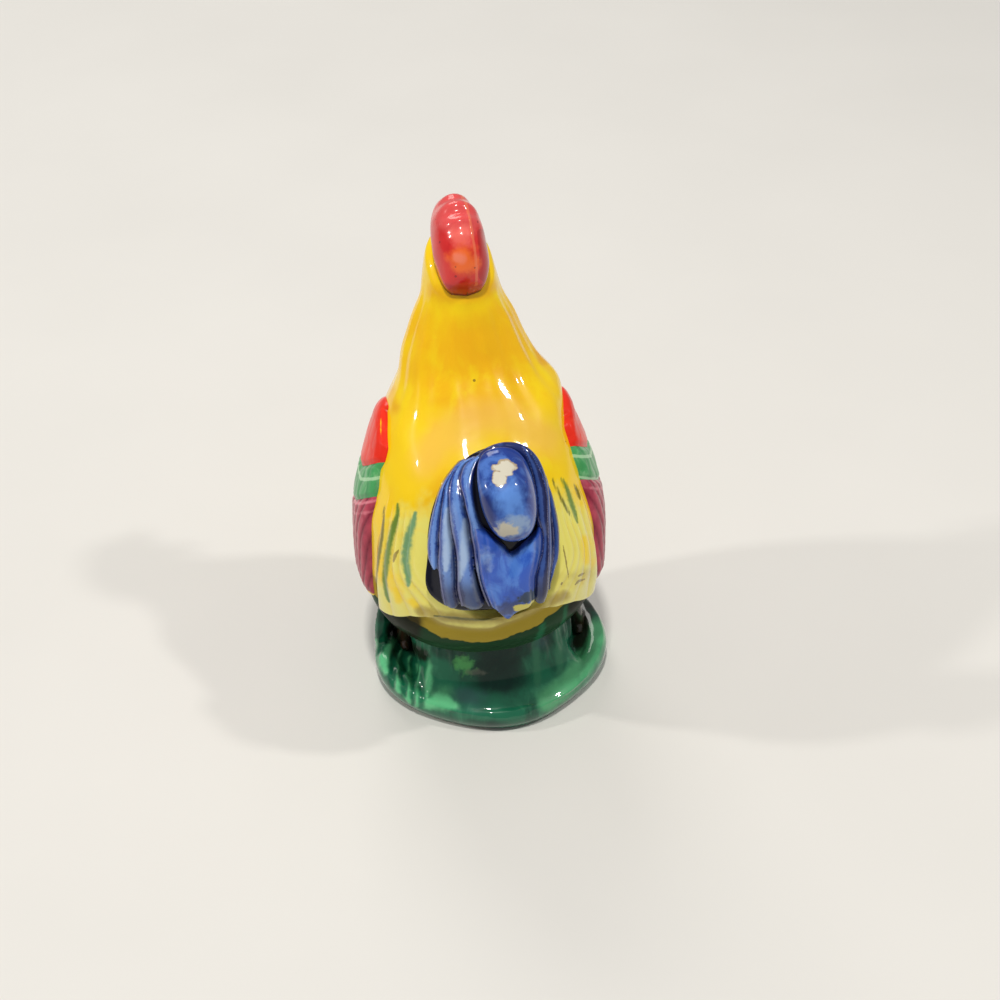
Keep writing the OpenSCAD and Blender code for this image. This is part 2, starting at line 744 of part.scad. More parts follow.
// The outline wavers a little, as a hand-pressed mound does, and is flatter at both rear corners;
// the rim is lower at the rear
waver_shares = [0.012, 0.008];
flat_angles = [66, 134];
flat_shares = [0.04, 0.08];
rear_rim_share = 0.82;
function mound_ring(share, z, groove) = [
    for (i = [0:mound_sides - 1])
        let (
            t = 360 * i / mound_sides,
            waver = waver_shares[0] * sin(3 * t + 40) + waver_shares[1] * sin(5 * t),
            flat = flat_shares * [for (a = flat_angles) pow(max(cos(t - a), 0), 6)],
            wave = share * (1 + waver - flat),
            cut = i % 3 == 0 ? groove * grass_relief : 0
        )
        [
            (base_w / 2 * wave - cut) * cos(t) - base_shift,
            (base_d / 2 * wave - cut) * sin(t),
            z > floor_h ? z * mix(1, rear_rim_share, ease(sin(t))) : z
        ]
];
module base_mound() {
    inner_share = 1 - 2 * rim_w / base_w;
    // Rows of shares: width, height, depth of the grooves
    rim_shares = [
        [0.925, 0, 0], [0.97, 0.16, 0.4], [1, 0.5, 1], [0.985, 0.8, 1], [0.94, 0.96, 1],
        [(0.94 + inner_share) / 2, 1, 0.5]
    ];
    rings = [for (s = rim_shares) mound_ring(s[0], rim_h * s[1], s[2])];
    color(green) difference() {
        skin(concat(rings, [mound_ring(inner_share, floor_h, 0)]));
        translate([-base_shift, 0, -overrun]) cylinder(d = recess_d, h = recess_h + overrun, $fn = 64);
        translate([-base_shift, 0, -overrun]) cylinder(d = vent_d, h = rim_h + 2 * overrun, $fn = 32);
    }
}

// Tuft of blades between the floor and the belly, with a niche for each leg

tuft_w = base_w * tuft_w_share;
tuft_d = base_d * tuft_d_share;
leg_y = -tuft_d * 0.03;
leg_low = tuft_w * 0.53;
leg_high = tuft_w * 0.475;
function tuft_ring(z, by) =
    let (t = (z - floor_h) / (belly_z - floor_h), shift = mix(base_shift, base_shift / 2, t))
    [
        for (i = [0:tuft_sides - 1])
            let (
                a = 360 * i / tuft_sides,
                spread = 1 + tuft_flare_share * pow(1 - t, 1.7) * ease(abs(sin(a)) * 1.6 - 0.3),
                flow = i % 3 == 0 ? blade_relief : 0,
                off = abs(sin(a) - leg_y / tuft_d * 2),
                niche = abs(cos(a)) < 0.5 ? 0 : niche_h * ease(1.6 - off * 4.5),
                x = (tuft_w / 2 * spread - by - flow - niche) * cos(a),
                y = (tuft_d / 2 * spread - by - flow) * sin(a)
            )
            [x - shift, y, z]
    ];
module grass_tuft() {
    outer_shares = [0, 0.16, 0.4, 0.7, 1];
    outside = [for (s = outer_shares) tuft_ring(mix(floor_h, belly_z, s), 0)];
    inside = [for (s = [1, 0]) tuft_ring(mix(floor_h, belly_z, s), wall)];
    color(green) skin(concat(outside, inside), joined = true);
}

// A shank with its toes spread before and behind it
module leg(side) {
    // Rows of shares: height, thickness, length of the toes
    leg_shares = [[0, 1.1, 1], [0.1, 1.06, 0.9], [0.2, 0.94, 0.3], [0.55, 0.9, 0], [1, 1.1, 0]];
    rings = [
        for (s = leg_shares)
            let (z = mix(floor_h, belly_z, s[0]), x = mix(leg_low, leg_high, s[0]) * side)
            [
                for (i = [0:small_sides * 2 - 1])
                    let (
                        a = 180 * i / small_sides,
                        toe = toe_l * s[2] * (sin(a) < 0 ? 1 : 0.5) * pow(abs(sin(a)), 2)
                    )
                    [
                        x - mix(base_shift, base_shift / 2, s[0]) + shank_d / 2 * s[1] * cos(a),
                        leg_y + (shank_d / 2 * s[1] + toe - shank_d / 4 * s[2]) * sin(a),
                        z
                    ]
            ]
    ];
    color(brown) skin(rings);
}
module left_leg() { leg(left); }
module right_leg() { leg(right); }

base_mound();
grass_tuft();
left_leg();
right_leg();
body_shell();
neck();
head();
comb();
upper_beak();
lower_beak();
left_wattle();
right_wattle();
left_eye();
right_eye();
left_wing_shoulder();
right_wing_shoulder();
left_wing_bar();
right_wing_bar();
left_wing_primaries();
right_wing_primaries();
left_saddle_feathers();
right_saddle_feathers();
tail_core();
left_tail_feathers();
right_tail_feathers();
tail_plume();
tail_sickle();
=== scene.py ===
import math
import bpy
import numpy as np
from mathutils import Matrix, Vector


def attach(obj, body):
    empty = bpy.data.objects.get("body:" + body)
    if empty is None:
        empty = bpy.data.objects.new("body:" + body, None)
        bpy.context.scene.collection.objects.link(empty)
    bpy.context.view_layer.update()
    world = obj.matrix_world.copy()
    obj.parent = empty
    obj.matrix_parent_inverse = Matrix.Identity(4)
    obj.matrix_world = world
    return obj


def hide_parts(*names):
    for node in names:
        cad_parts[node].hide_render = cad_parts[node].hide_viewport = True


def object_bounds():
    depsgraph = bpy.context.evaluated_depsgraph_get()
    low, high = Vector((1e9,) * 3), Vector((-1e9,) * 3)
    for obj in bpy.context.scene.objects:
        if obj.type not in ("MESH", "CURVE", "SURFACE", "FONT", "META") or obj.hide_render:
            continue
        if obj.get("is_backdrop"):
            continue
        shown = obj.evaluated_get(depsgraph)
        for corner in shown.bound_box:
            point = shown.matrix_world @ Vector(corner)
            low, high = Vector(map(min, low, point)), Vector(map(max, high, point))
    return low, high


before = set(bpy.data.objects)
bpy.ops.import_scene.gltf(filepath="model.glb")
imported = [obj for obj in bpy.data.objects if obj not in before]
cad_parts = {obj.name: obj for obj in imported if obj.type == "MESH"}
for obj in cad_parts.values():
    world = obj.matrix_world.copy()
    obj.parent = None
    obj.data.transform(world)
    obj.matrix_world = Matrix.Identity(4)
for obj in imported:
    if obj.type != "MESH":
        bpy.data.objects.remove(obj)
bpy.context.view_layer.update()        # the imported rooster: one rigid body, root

mm = 0.001
print("frame loaded with", len(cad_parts), "clay forms")

# every size below is in millimetres, in the row's own frame: the rooster looks along -Y


# small helpers

def mix(a, b, t):
    return a + (b - a) * t


def ease(t):
    t = np.clip(t, 0, 1)
    return t * t * (3 - 2 * t)


def bump(x, centre, span):
    return np.exp(-((x - centre) / span) ** 2)


def gridOf(a, b):
    return np.meshgrid(a, b, indexing="ij")


def roundOf(sides):
    # the angles of an even round
    return np.arange(sides) * 2 * np.pi / sides


def most(*masks):
    return np.maximum.reduce(masks)


def rowAt(rows, z):
    # smooth rows of sizes at the heights z, each column its own curve
    rows = np.asarray(rows, float)
    n = len(rows)
    slope = np.array([(rows[min(i + 1, n - 1)] - rows[max(i - 1, 0)])
                      / (rows[min(i + 1, n - 1)][0] - rows[max(i - 1, 0)][0]) for i in range(n)])
    i = np.clip(np.searchsorted(rows[:, 0], z, side="right") - 1, 0, n - 2)
    d = (rows[i + 1, 0] - rows[i, 0])[..., None]
    t = (np.asarray(z)[..., None] - rows[i, 0][..., None]) / d
    return (rows[i] * (2 * t ** 3 - 3 * t ** 2 + 1) + slope[i] * d * (t ** 3 - 2 * t ** 2 + t)
            + rows[i + 1] * (3 * t ** 2 - 2 * t ** 3) + slope[i + 1] * d * (t ** 3 - t ** 2))


def clayNoise(p, cell, seed):
    # soft lumps of about one cell, from -1 to 1
    size = 24
    lattice = np.random.default_rng(seed).random((size, size, size)) * 2 - 1
    q = np.asarray(p, float) / cell + 64
    i = np.floor(q).astype(int)
    f = q - i
    f = f * f * (3 - 2 * f)
    total = 0
    for corner in np.ndindex(2, 2, 2):
        share = 1.0
        for k, step in enumerate(corner):
            share = share * (f[..., k] if step else 1 - f[..., k])
        total = total + share * lattice[tuple((i[..., k] + step) % size for k, step in enumerate(corner))]
    return total


def lumpsOf(p, height, cell, seed):
    return height * clayNoise(p, cell, seed)


# the view from behind and above, across whose line of sight the brush marks were measured
shot = {"azimuth": 173.5, "elevation": 38.5, "distance": 300, "look": (-3.85, 0, 38.4), "roll": -0.8,
        "focal": 1658, "pixels": 1000, "sensor": 36, "depthShare": 0.93}
azimuth, elevation, roll = (math.radians(shot[key]) for key in ("azimuth", "elevation", "roll"))
sight = np.array([math.sin(azimuth), -math.cos(azimuth), math.tan(elevation)])
sight = sight / np.linalg.norm(sight)


def awayFrom(p, path, taper=0):
    # how far places lie from a line of points; depth along the line of sight hardly counts,
    # and both ends count as farther where the line tapers
    squash = np.eye(3) - shot["depthShare"] * np.outer(sight, sight)
    path, p = np.asarray(path, float) @ squash, p @ squash
    best = np.full(p.shape[:-1], 1e9)
    for i, (a, b) in enumerate(zip(path[:-1], path[1:])):
        t = np.clip(((p - a) @ (b - a)) / ((b - a) @ (b - a)), 0, 1)
        along = 2 * (i + t) / (len(path) - 1) - 1
        away = np.linalg.norm(p - a - t[..., None] * (b - a), axis=-1)
        best = np.minimum(best, away / (1 - taper * along ** 2))
    return best


def strokeMask(p, path, width, hard=0.45, taper=0):
    # 1 on a brushed line of points, fading over its width
    return 1 - ease((awayFrom(p, path, taper) / width - hard) / (1 - hard))


def strokesOf(p, routes, hard=0.45, taper=0):
    # the strongest of several strokes, each a line of points and a width
    return most(*[strokeMask(p, route, width, hard, taper) for route, width in routes])


# meshes

def addObject(name, data):
    thing = bpy.data.objects.new(name, data)
    bpy.context.scene.collection.objects.link(thing)
    return thing


def mark(piece, key, values):
    # a soft mask on the piece's points, for its glaze
    layer = piece.data.attributes.get(key) or piece.data.attributes.new(key, "FLOAT", "POINT")
    layer.data.foreach_set("value", np.clip(values, 0, 1).astype(np.float32))


def makePiece(name, points, faces, **marks):
    mesh = bpy.data.meshes.new(name)
    mesh.from_pydata((np.asarray(points, float) * mm).tolist(), [], faces)
    mesh.polygons.foreach_set("use_smooth", [True] * len(mesh.polygons))
    mesh.update()
    piece = addObject(name, mesh)
    for key, values in marks.items():
        mark(piece, key, values)
    return piece


def shellFaces(m, n):
    # rings that climb and run anticlockwise; a point closes each end
    i = np.arange(n)
    j = (i + 1) % n
    faces = []
    for k in range(m - 1):
        a, b = k * n, (k + 1) * n
        faces += np.stack([a + i, a + j, b + j, b + i], 1).tolist()
    last, low, high = (m - 1) * n, m * n, m * n + 1
    faces += np.stack([np.full(n, low), j, i], 1).tolist()
    faces += np.stack([np.full(n, high), last + i, last + j], 1).tolist()
    return faces


def shellPiece(name, rings, **marks):
    points = np.concatenate([rings.reshape(-1, 3), [rings[0].mean(0), rings[-1].mean(0)]])
    return makePiece(name, points, shellFaces(*rings.shape[:2]), **marks)


def padPiece(name, outer, inner, **marks):
    # a closed pad between two grids whose rows climb and whose columns run right
    r, c, _ = outer.shape
    half = r * c
    k = (np.arange(r - 1)[:, None] * c + np.arange(c - 1)[None]).ravel()
    front = np.stack([k, k + 1, k + c + 1, k + c], 1)
    back = front[:, ::-1] + half
    rim = np.concatenate([np.arange(c), np.arange(1, r) * c + c - 1,
                          (r - 1) * c + np.arange(c - 2, -1, -1), np.arange(r - 2, 0, -1) * c])
    after = np.roll(rim, -1)
    edge = np.stack([rim, rim + half, after + half, after], 1)
    faces = front.tolist() + back.tolist() + edge.tolist()
    return makePiece(name, np.concatenate([outer.reshape(-1, 3), inner.reshape(-1, 3)]), faces, **marks)


def finished(piece):
    # the evaluated mesh, with every modifier applied
    bpy.context.view_layer.update()
    graph = bpy.context.evaluated_depsgraph_get()
    mesh = bpy.data.meshes.new_from_object(piece.evaluated_get(graph))
    mesh.name = name = piece.name
    bpy.data.objects.remove(piece)
    return addObject(name, mesh)


def pointsOf(piece):
    co = np.empty(len(piece.data.vertices) * 3)
    piece.data.vertices.foreach_get("co", co)
    return co.reshape(-1, 3) / mm


def facesOut(piece):
    # turns every face outwards if the whole skin came out the wrong way round
    mesh = piece.data
    mesh.calc_loop_triangles()
    ids = np.empty(len(mesh.loop_triangles) * 3, int)
    mesh.loop_triangles.foreach_get("vertices", ids)
    t = pointsOf(piece)[ids.reshape(-1, 3)]
    if np.einsum("ij,ij->", t[:, 0], np.cross(t[:, 1], t[:, 2])) < 0:
        mesh.flip_normals()
    return piece


def melt(name, parts, voxel, rounds):
    # luted forms that the glaze has run over: one skin, a little softened
    points, faces, start = [], [], 0
    for part in parts:
        p = pointsOf(part)
        points.append(p)
        faces += [[start + v for v in f.vertices] for f in part.data.polygons]
        start += len(p)
        bpy.data.objects.remove(part)
    piece = makePiece(name, np.concatenate(points), faces)
    remesh = piece.modifiers.new("melt", "REMESH")
    remesh.mode = "VOXEL"
    remesh.voxel_size = voxel * mm
    remesh.use_smooth_shade = True
    smooth = piece.modifiers.new("soften", "SMOOTH")
    smooth.factor = 0.5
    smooth.iterations = rounds
    return finished(piece)


def dress(piece, material, slot, *nodes):
    piece.data.materials.clear()
    piece.data.materials.append(material)
    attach(piece, "root")
    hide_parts(*nodes)
    print("  ", piece.name, len(piece.data.polygons), "faces")


# node helpers

def feed(tree, socket, value):
    # the value is plain, a socket, a tree's number, or a node whose first output counts
    if isinstance(value, treeNumber):
        value = value.socket
    if isinstance(value, bpy.types.Node):
        value = value.outputs[0]
    if isinstance(value, bpy.types.NodeSocket):
        tree.links.new(value, socket)
    else:
        socket.default_value = value


def addNode(tree, kind, settings=None, **inputs):
    # a node whose sockets are fed by name
    node = tree.nodes.new(kind)
    for key, value in (settings or {}).items():
        setattr(node, key, value)
    for key, value in inputs.items():
        feed(tree, node.inputs[key.replace("_", " ")], value)
    return node


def fedNode(tree, kind, values, settings=None):
    # a node whose sockets are fed in order
    node = addNode(tree, kind, settings)
    for socket, value in zip(node.inputs, values):
        feed(tree, socket, value)
    return node


def calc(tree, operation, *values):
    return fedNode(tree, "ShaderNodeMath", values, {"operation": operation}).outputs[0]


class treeNumber:
    # a number in a node tree, so that its formulas read like plain sums

    def __init__(self, tree, socket):
        self.tree, self.socket = tree, socket

    def then(self, operation, *values):
        return treeNumber(self.tree, calc(self.tree, operation, self, *values))

    def __add__(self, other):
        return self.then("ADD", other)

    def __sub__(self, other):
        return self.then("SUBTRACT", other)

    def __mul__(self, other):
        return self.then("MULTIPLY", other)


def smoothStep(tree, value, low, high, start=0.0, end=1.0):
    return addNode(tree, "ShaderNodeMapRange", {"interpolation_type": "SMOOTHSTEP"}, Value=value,
                   From_Min=low, From_Max=high, To_Min=start, To_Max=end)


def vectorMath(tree, operation, *values):
    return fedNode(tree, "ShaderNodeVectorMath", values, {"operation": operation})


def joinAxes(tree, *values):
    return fedNode(tree, "ShaderNodeCombineXYZ", values)


def newGroup(name, kind, inputs, output, outputKind="Float"):
    # a tree with named inputs; those without a value are named after their kind
    kinds = {float: "Float", int: "Int", tuple: "Vector"}
    tree = bpy.data.node_groups.new(name, kind)
    for label, value in inputs.items():
        socketType = "NodeSocket" + kinds.get(type(value), label)
        socket = tree.interface.new_socket(label, in_out="INPUT", socket_type=socketType)
        if value is not None:
            socket.default_value = value
    tree.interface.new_socket(output, in_out="OUTPUT", socket_type="NodeSocket" + outputKind)
    return tree, tree.nodes.new("NodeGroupInput").outputs, tree.nodes.new("NodeGroupOutput").inputs[0]


def colour(red, green, blue):
    # a colour as it is seen on screen, 0 to 255, made linear
    def linear(c):
        c /= 255
        return c / 12.92 if c < 0.04045 else ((c + 0.055) / 1.055) ** 2.4
    return (linear(red), linear(green), linear(blue), 1)


def mixColours(tree, mask, under, over):
    node = addNode(tree, "ShaderNodeMix", {"data_type": "RGBA"}, Factor=mask)
    feed(tree, node.inputs[6], under)
    feed(tree, node.inputs[7], over)
    return node.outputs[2]


def curveOf(tree, value, points):
    # a drawn curve of a value
    node = addNode(tree, "ShaderNodeFloatCurve", Value=value)
    curve = node.mapping.curves[0]
    while len(curve.points) > 2:
        curve.points.remove(curve.points[1])
    curve.points[0].location = points[0]
    curve.points[1].location = points[-1]
    for x, y in points[1:-1]:
        curve.points.new(x, y)
    node.mapping.update()
    return treeNumber(tree, node.outputs[0])


# shared glaze effects

def buildGlazeFlow():
    # cloudy glaze that ran down the form: a mask from 0 to 1
    tree, given, out = newGroup("glazeFlow", "ShaderNodeTree", {
        "Vector": None, "Scale": 200.0, "Stretch": 0.4, "Low": 0.35, "High": 0.65, "Shift": 0.0}, "Mask")
    x, y, z = addNode(tree, "ShaderNodeSeparateXYZ", Vector=given["Vector"]).outputs
    join = joinAxes(tree, calc(tree, "ADD", x, given["Shift"]), y,
                    calc(tree, "MULTIPLY", z, given["Stretch"]))
    noise = addNode(tree, "ShaderNodeTexNoise", Vector=join, Scale=given["Scale"], Detail=5.0,
                    Roughness=0.55, Distortion=0.6)
    feed(tree, out, smoothStep(tree, noise, given["Low"], given["High"]))
    return tree


def buildPatch():
    # one ragged patch at a place on the form
    tree, given, out = newGroup("raggedPatch", "ShaderNodeTree", {
        "Vector": None, "Centre": (0, 0, 0), "Size": (mm, mm, mm), "Ragged": 0.5, "Scale": 900.0,
        "Soft": 0.15}, "Mask")
    noise = addNode(tree, "ShaderNodeTexNoise", Vector=given["Vector"], Scale=given["Scale"], Detail=3.0)
    away = vectorMath(tree, "SUBTRACT", given["Vector"], given["Centre"])
    reach = vectorMath(tree, "LENGTH", vectorMath(tree, "DIVIDE", away, given["Size"]))
    wobble = (treeNumber(tree, noise.outputs["Fac"]) - 0.5) * given["Ragged"]
    edge = calc(tree, "ADD", reach.outputs["Value"], wobble * 2.0)
    feed(tree, out, smoothStep(tree, edge, calc(tree, "SUBTRACT", 1.0, given["Soft"]),
                               calc(tree, "ADD", 1.0, given["Soft"]), 1.0, 0.0))
    return tree


def buildSpecks():
    # tiny dark specks that the kiln leaves in the glaze
    tree, given, out = newGroup("kilnSpecks", "ShaderNodeTree", {
        "Vector": None, "Scale": 300.0, "Size": 0.09, "Share": 0.2}, "Mask")
    cells = addNode(tree, "ShaderNodeTexVoronoi", Vector=given["Vector"], Scale=given["Scale"])
    near = calc(tree, "LESS_THAN", cells.outputs["Distance"], given["Size"])
    pick = addNode(tree, "ShaderNodeSeparateColor", Color=cells.outputs["Color"])
    few = calc(tree, "LESS_THAN", pick.outputs["Red"], given["Share"])
    feed(tree, out, calc(tree, "MULTIPLY", near, few))
    return tree


def buildGlazeSkin():
    # the slow waves and fine grain of a fired glaze, as a height
    tree, given, out = newGroup("glazeSkin", "ShaderNodeTree", {
        "Vector": None, "Wave": 260.0, "Grain": 2600.0, "Grain Share": 0.08}, "Height")
    wave = addNode(tree, "ShaderNodeTexNoise", Vector=given["Vector"], Scale=given["Wave"], Detail=2.0)
    grain = addNode(tree, "ShaderNodeTexNoise", Vector=given["Vector"], Scale=given["Grain"], Detail=2.0)
    feed(tree, out, calc(tree, "ADD", wave, calc(tree, "MULTIPLY", grain, given["Grain Share"])))
    return tree


glazeFlow, raggedPatch = buildGlazeFlow(), buildPatch()
kilnSpecks, glazeSkin = buildSpecks(), buildGlazeSkin()
print("shared glaze effects built")


class glazePaint:
    # one glaze: a stack of colours over a base, under a clear glossy coat
    shine = 0.1

    def __init__(self, name, base, roughness=0.3, coat=1.0, skin=0.25, wave=260.0, gloss=0.04):
        self.material = bpy.data.materials.new(name)
        self.material.use_nodes = True
        self.tree = self.material.node_tree
        self.tree.nodes.clear()
        self.place = self.tree.nodes.new("ShaderNodeTexCoord").outputs["Object"]
        lift = addNode(self.tree, "ShaderNodeBump", Height=self.group(glazeSkin, Wave=wave), Strength=skin,
                       Distance=0.0003)
        self.shader = addNode(self.tree, "ShaderNodeBsdfPrincipled", Roughness=roughness, Normal=lift,
                              Coat_Weight=coat, Coat_Roughness=gloss, **{
                                  "IOR": 1.5, "Specular IOR Level": self.shine})
        addNode(self.tree, "ShaderNodeOutputMaterial", Surface=self.shader)
        self.top = colour(*base)

    def group(self, tree, **inputs):
        return addNode(self.tree, "ShaderNodeGroup", {"node_tree": tree}, **{"Vector": self.place, **inputs})

    def over(self, mask, shade, amount=1.0):
        # lays a colour over what is there, where the mask says
        if amount != 1.0:
            mask = calc(self.tree, "MULTIPLY", mask, amount)
        self.top = mixColours(self.tree, mask, self.top, colour(*shade))
        return self

    def flow(self, shade, amount=1.0, **inputs):
        return self.over(self.group(glazeFlow, **inputs), shade, amount)

    def patch(self, shade, centre, size, amount=1.0, **inputs):
        place = {"Centre": tuple(c * mm for c in centre), "Size": tuple(s * mm for s in size)}
        return self.over(self.group(raggedPatch, **place, **inputs), shade, amount)

    def specks(self, shade, amount=1.0, **inputs):
        return self.over(self.group(kilnSpecks, **inputs), shade, amount)

    def mask(self, key):
        return addNode(self.tree, "ShaderNodeAttribute", {"attribute_name": key}).outputs["Fac"]

    def marked(self, key, shade, amount=1.0, ragged=0.0, scale=1200.0, soft=0.2):
        # a painted mark from the piece's own attribute, its edge broken by the brush
        mask = self.mask(key)
        if ragged:
            noise = addNode(self.tree, "ShaderNodeTexNoise", Vector=self.place, Scale=scale, Detail=3.0)
            wobble = (treeNumber(self.tree, noise.outputs["Fac"]) - 0.5) * ragged
            broken = smoothStep(self.tree, calc(self.tree, "ADD", mask, wobble), 0.5 - soft, 0.5 + soft)
            mask = calc(self.tree, "MULTIPLY", broken, calc(self.tree, "GREATER_THAN", mask, 0.001))
        return self.over(mask, shade, amount)

    def dull(self, key, amount):
        # the coat and its shine are thinner where the mark is
        worn = calc(self.tree, "MULTIPLY", self.mask(key), amount)
        thin = calc(self.tree, "SUBTRACT", 1.0, worn)
        feed(self.tree, self.shader.inputs["Coat Weight"], thin)
        faint = calc(self.tree, "MULTIPLY", thin, self.shine)
        feed(self.tree, self.shader.inputs["Specular IOR Level"], faint)
        return self

    def done(self):
        feed(self.tree, self.shader.inputs["Base Color"], self.top)
        return self.material


# the figure: body, neck and head share one outline

figure = {
    "bellyZ": 16.4, "bellyWidth": 34, "bellyLength": 31,
    "bodyWidth": 43, "bodyLength": 49, "bodyHeight": 41.6,
    "rootWidth": 29, "napeWidth": 13.6, "neckHeight": 18,
    "headWidth": 12.2, "headLength": 14, "headHeight": 9.6, "headReach": 16.5,
    "turn": 4, "lean": 1.0, "swell": 1.4, "bodyRings": 120, "neckRings": 90, "sides": 240,
    "folds": 10, "hackles": 0.38, "lumps": (0.22, 9, 3), "grain": (0.1, 3.5, 5),
}


def bodyAt(share):
    return figure["bellyZ"] + figure["bodyHeight"] * share


neckZ = bodyAt(1)
headZ = neckZ + figure["neckHeight"]
crownZ = headZ + figure["headHeight"]


def figureRows():
    # height, half width, depth of the widest place, front, rear
    f = figure
    body = [[0.035, 0.44, 0, 0.37, 0.36], [0.08, 0.474, 0, 0.4, 0.385], [0.15, 0.492, 0, 0.43, 0.435],
            [0.25, 0.5, 0, 0.455, 0.476], [0.41, 0.502, -0.01, 0.482, 0.496],
            [0.576, 0.49, -0.03, 0.5, 0.465], [0.73, 0.445, -0.065, 0.5, 0.395],
            [0.87, 0.392, -0.11, 0.485, 0.295]]
    neck = [[0, 0, 0, 0, 0], [0.18, 0.21, 0.2, 0.5, 0.274], [0.39, 0.4, 0.467, 1.16, 0.564],
            [0.67, 0.68, 0.733, 1.5, 0.806], [0.89, 0.93, 0.9, 1.4, 0.952], [1, 1, 1, 1, 1]]
    head = [[0.33, 0.49, 0.041, -0.484, 0.549], [0.67, 0.41, 0.024, -0.449, 0.461],
            [0.9, 0.27, 0.006, -0.309, 0.304], [1, 0.1, 0.006, -0.099, 0.111]]
    neckFoot = [f["bodyLength"] * s for s in (-0.16, -0.46, 0.14)]
    neckTop = [f["headLength"] * s - f["headReach"] for s in (0.094, -0.361, 0.584)]
    rows = [[f["bellyZ"], f["bellyWidth"] / 2, 0, -f["bellyLength"] / 2, f["bellyLength"] / 2]]
    rows += [[bodyAt(s[0]), f["bodyWidth"] * s[1], f["bodyLength"] * s[2], -f["bodyLength"] * s[3],
              f["bodyLength"] * s[4]] for s in body]
    rows += [[neckZ + f["neckHeight"] * s[0], mix(f["rootWidth"], f["napeWidth"], s[1]) / 2,
              *[mix(neckFoot[k], neckTop[k], s[k + 2]) for k in range(3)]] for s in neck]
    rows += [[headZ + f["headHeight"] * s[0], f["headWidth"] * s[1],
              *[f["headLength"] * s[k] - f["headReach"] for k in (2, 3, 4)]] for s in head]
    return np.array(rows)


outlineRows = figureRows()


def figureAt(z, v, by=0.0):
    # a point of the outline; v is 0 at the rooster's left and 90 at its rear
    z, v = np.broadcast_arrays(np.asarray(z, float), np.asarray(v, float))
    r = rowAt(outlineRows, z)
    c, s = np.cos(np.radians(v)), np.sin(np.radians(v))
    reach = np.where(s > 0, r[..., 4] - r[..., 2], r[..., 2] - r[..., 3]) - by
    swell = figure["swell"] * bump(z, neckZ + figure["neckHeight"] * 0.02, figure["neckHeight"] * 0.19)
    half = r[..., 1] + np.where(c < 0, swell, 0)
    x, y = (half - by) * c, r[..., 2] + reach * s + figure["headReach"]
    up = (z - neckZ) / figure["neckHeight"]
    a, lean = np.radians(figure["turn"] * ease(up)), figure["lean"] * ease(up * 2)
    return np.stack([x * np.cos(a) - y * np.sin(a) + lean,
                     x * np.sin(a) + y * np.cos(a) - figure["headReach"], z], -1)


def figureNormal(z, v):
    z, v = np.broadcast_arrays(np.asarray(z, float), np.asarray(v, float))
    along = figureAt(z, v + 1) - figureAt(z, v - 1)
    up = figureAt(np.minimum(z + 0.05, crownZ), v) - figureAt(np.maximum(z - 0.05, figure["bellyZ"]), v)
    n = np.cross(along, up)
    return n / np.linalg.norm(n, axis=-1, keepdims=True)


# the tail's seat: a plane that leans back over the rump

seat = {"lean": math.radians(25), "y": figure["bodyLength"] * 0.349, "z": bodyAt(0.723)}
seatUp = np.array([0, -math.sin(seat["lean"]), math.cos(seat["lean"])])
seatOut = np.array([0, math.cos(seat["lean"]), math.sin(seat["lean"])])
seatCentre = np.array([0, seat["y"], seat["z"]])

tail = {"width": 24, "length": 31, "height": 8.6, "shift": 2, "plume": 1.5, "edgeLow": 0.24, "edgeHigh": 0.5,
        "buried": 1.2}
coreWidth, coreLength = tail["width"] - 2 * tail["plume"], tail["length"] - tail["plume"]


def tailPoint(a, q, h):
    # a runs to the rooster's right, q up the seat, h out of it
    a, q, h = np.broadcast_arrays(a, q, h)
    return seatCentre + q[..., None] * seatUp + h[..., None] * seatOut - a[..., None] * np.array([1.0, 0, 0])


def tailPlace(p):
    d = p - seatCentre
    return -d[..., 0], d @ seatUp, d @ seatOut


def tailSide(q, side):
    bend = -coreLength * 0.2
    t = np.where(q > bend, (q - bend) / (coreLength / 2 - bend), (bend - q) / (bend + coreLength / 2) * 0.38)
    half = coreWidth / 2 * np.sqrt(np.maximum(0, 1 - t * t))
    return half * (1 - np.sign(side) * 2 * tail["shift"] / coreWidth)


def tailEdge(q):
    # how high the tail's flat side stands over its seat
    return tail["height"] * mix(tail["edgeLow"], tail["edgeHigh"], np.clip(q / coreLength + 0.5, 0, 1))


def tailFace(a, q):
    b = a - tail["shift"]
    u = np.minimum(np.abs(b) / np.maximum(0.05, tailSide(q, b)), 1)
    e = tailEdge(q)
    ends = np.maximum(0, 1 - np.abs(2 * q / coreLength) ** 4)
    return e + (tail["height"] - e) * (1 - u ** 2.4) * ends * mix(0.5, 1, ease(q / coreLength + 0.6))


def hollowForTail(p):
    # the back dips round the tail's foot, where the dark glaze pools
    a, q, h = tailPlace(p)
    b = a - tail["shift"]
    e = np.sqrt((b / (coreWidth / 2 + 1.2)) ** 2 + ((q + 1) / (coreLength / 2 + 0.6)) ** 2)
    drop = np.maximum(0, h + 0.2) * (1 - ease((e - 0.86) / 0.2))
    return p - drop[..., None] * seatOut


def combSeat():
    slope = math.radians(-30)
    turn = math.radians(figure["turn"])
    tilt = np.array([[1, 0, 0], [0, math.cos(slope), -math.sin(slope)],
                     [0, math.sin(slope), math.cos(slope)]])
    spin = np.array([[math.cos(turn), -math.sin(turn), 0], [math.sin(turn), math.cos(turn), 0], [0, 0, 1]])
    start = np.array([figure["lean"], -figure["headReach"], 0]) + spin @ np.array(
        [0, -figure["headLength"] * 0.4, headZ + figure["headHeight"] * 0.8])
    return start, spin, spin @ tilt


combStart, headSpin, combFrame = combSeat()


def onHead(p):
    return p @ headSpin.T + np.array([figure["lean"], -figure["headReach"], 0])


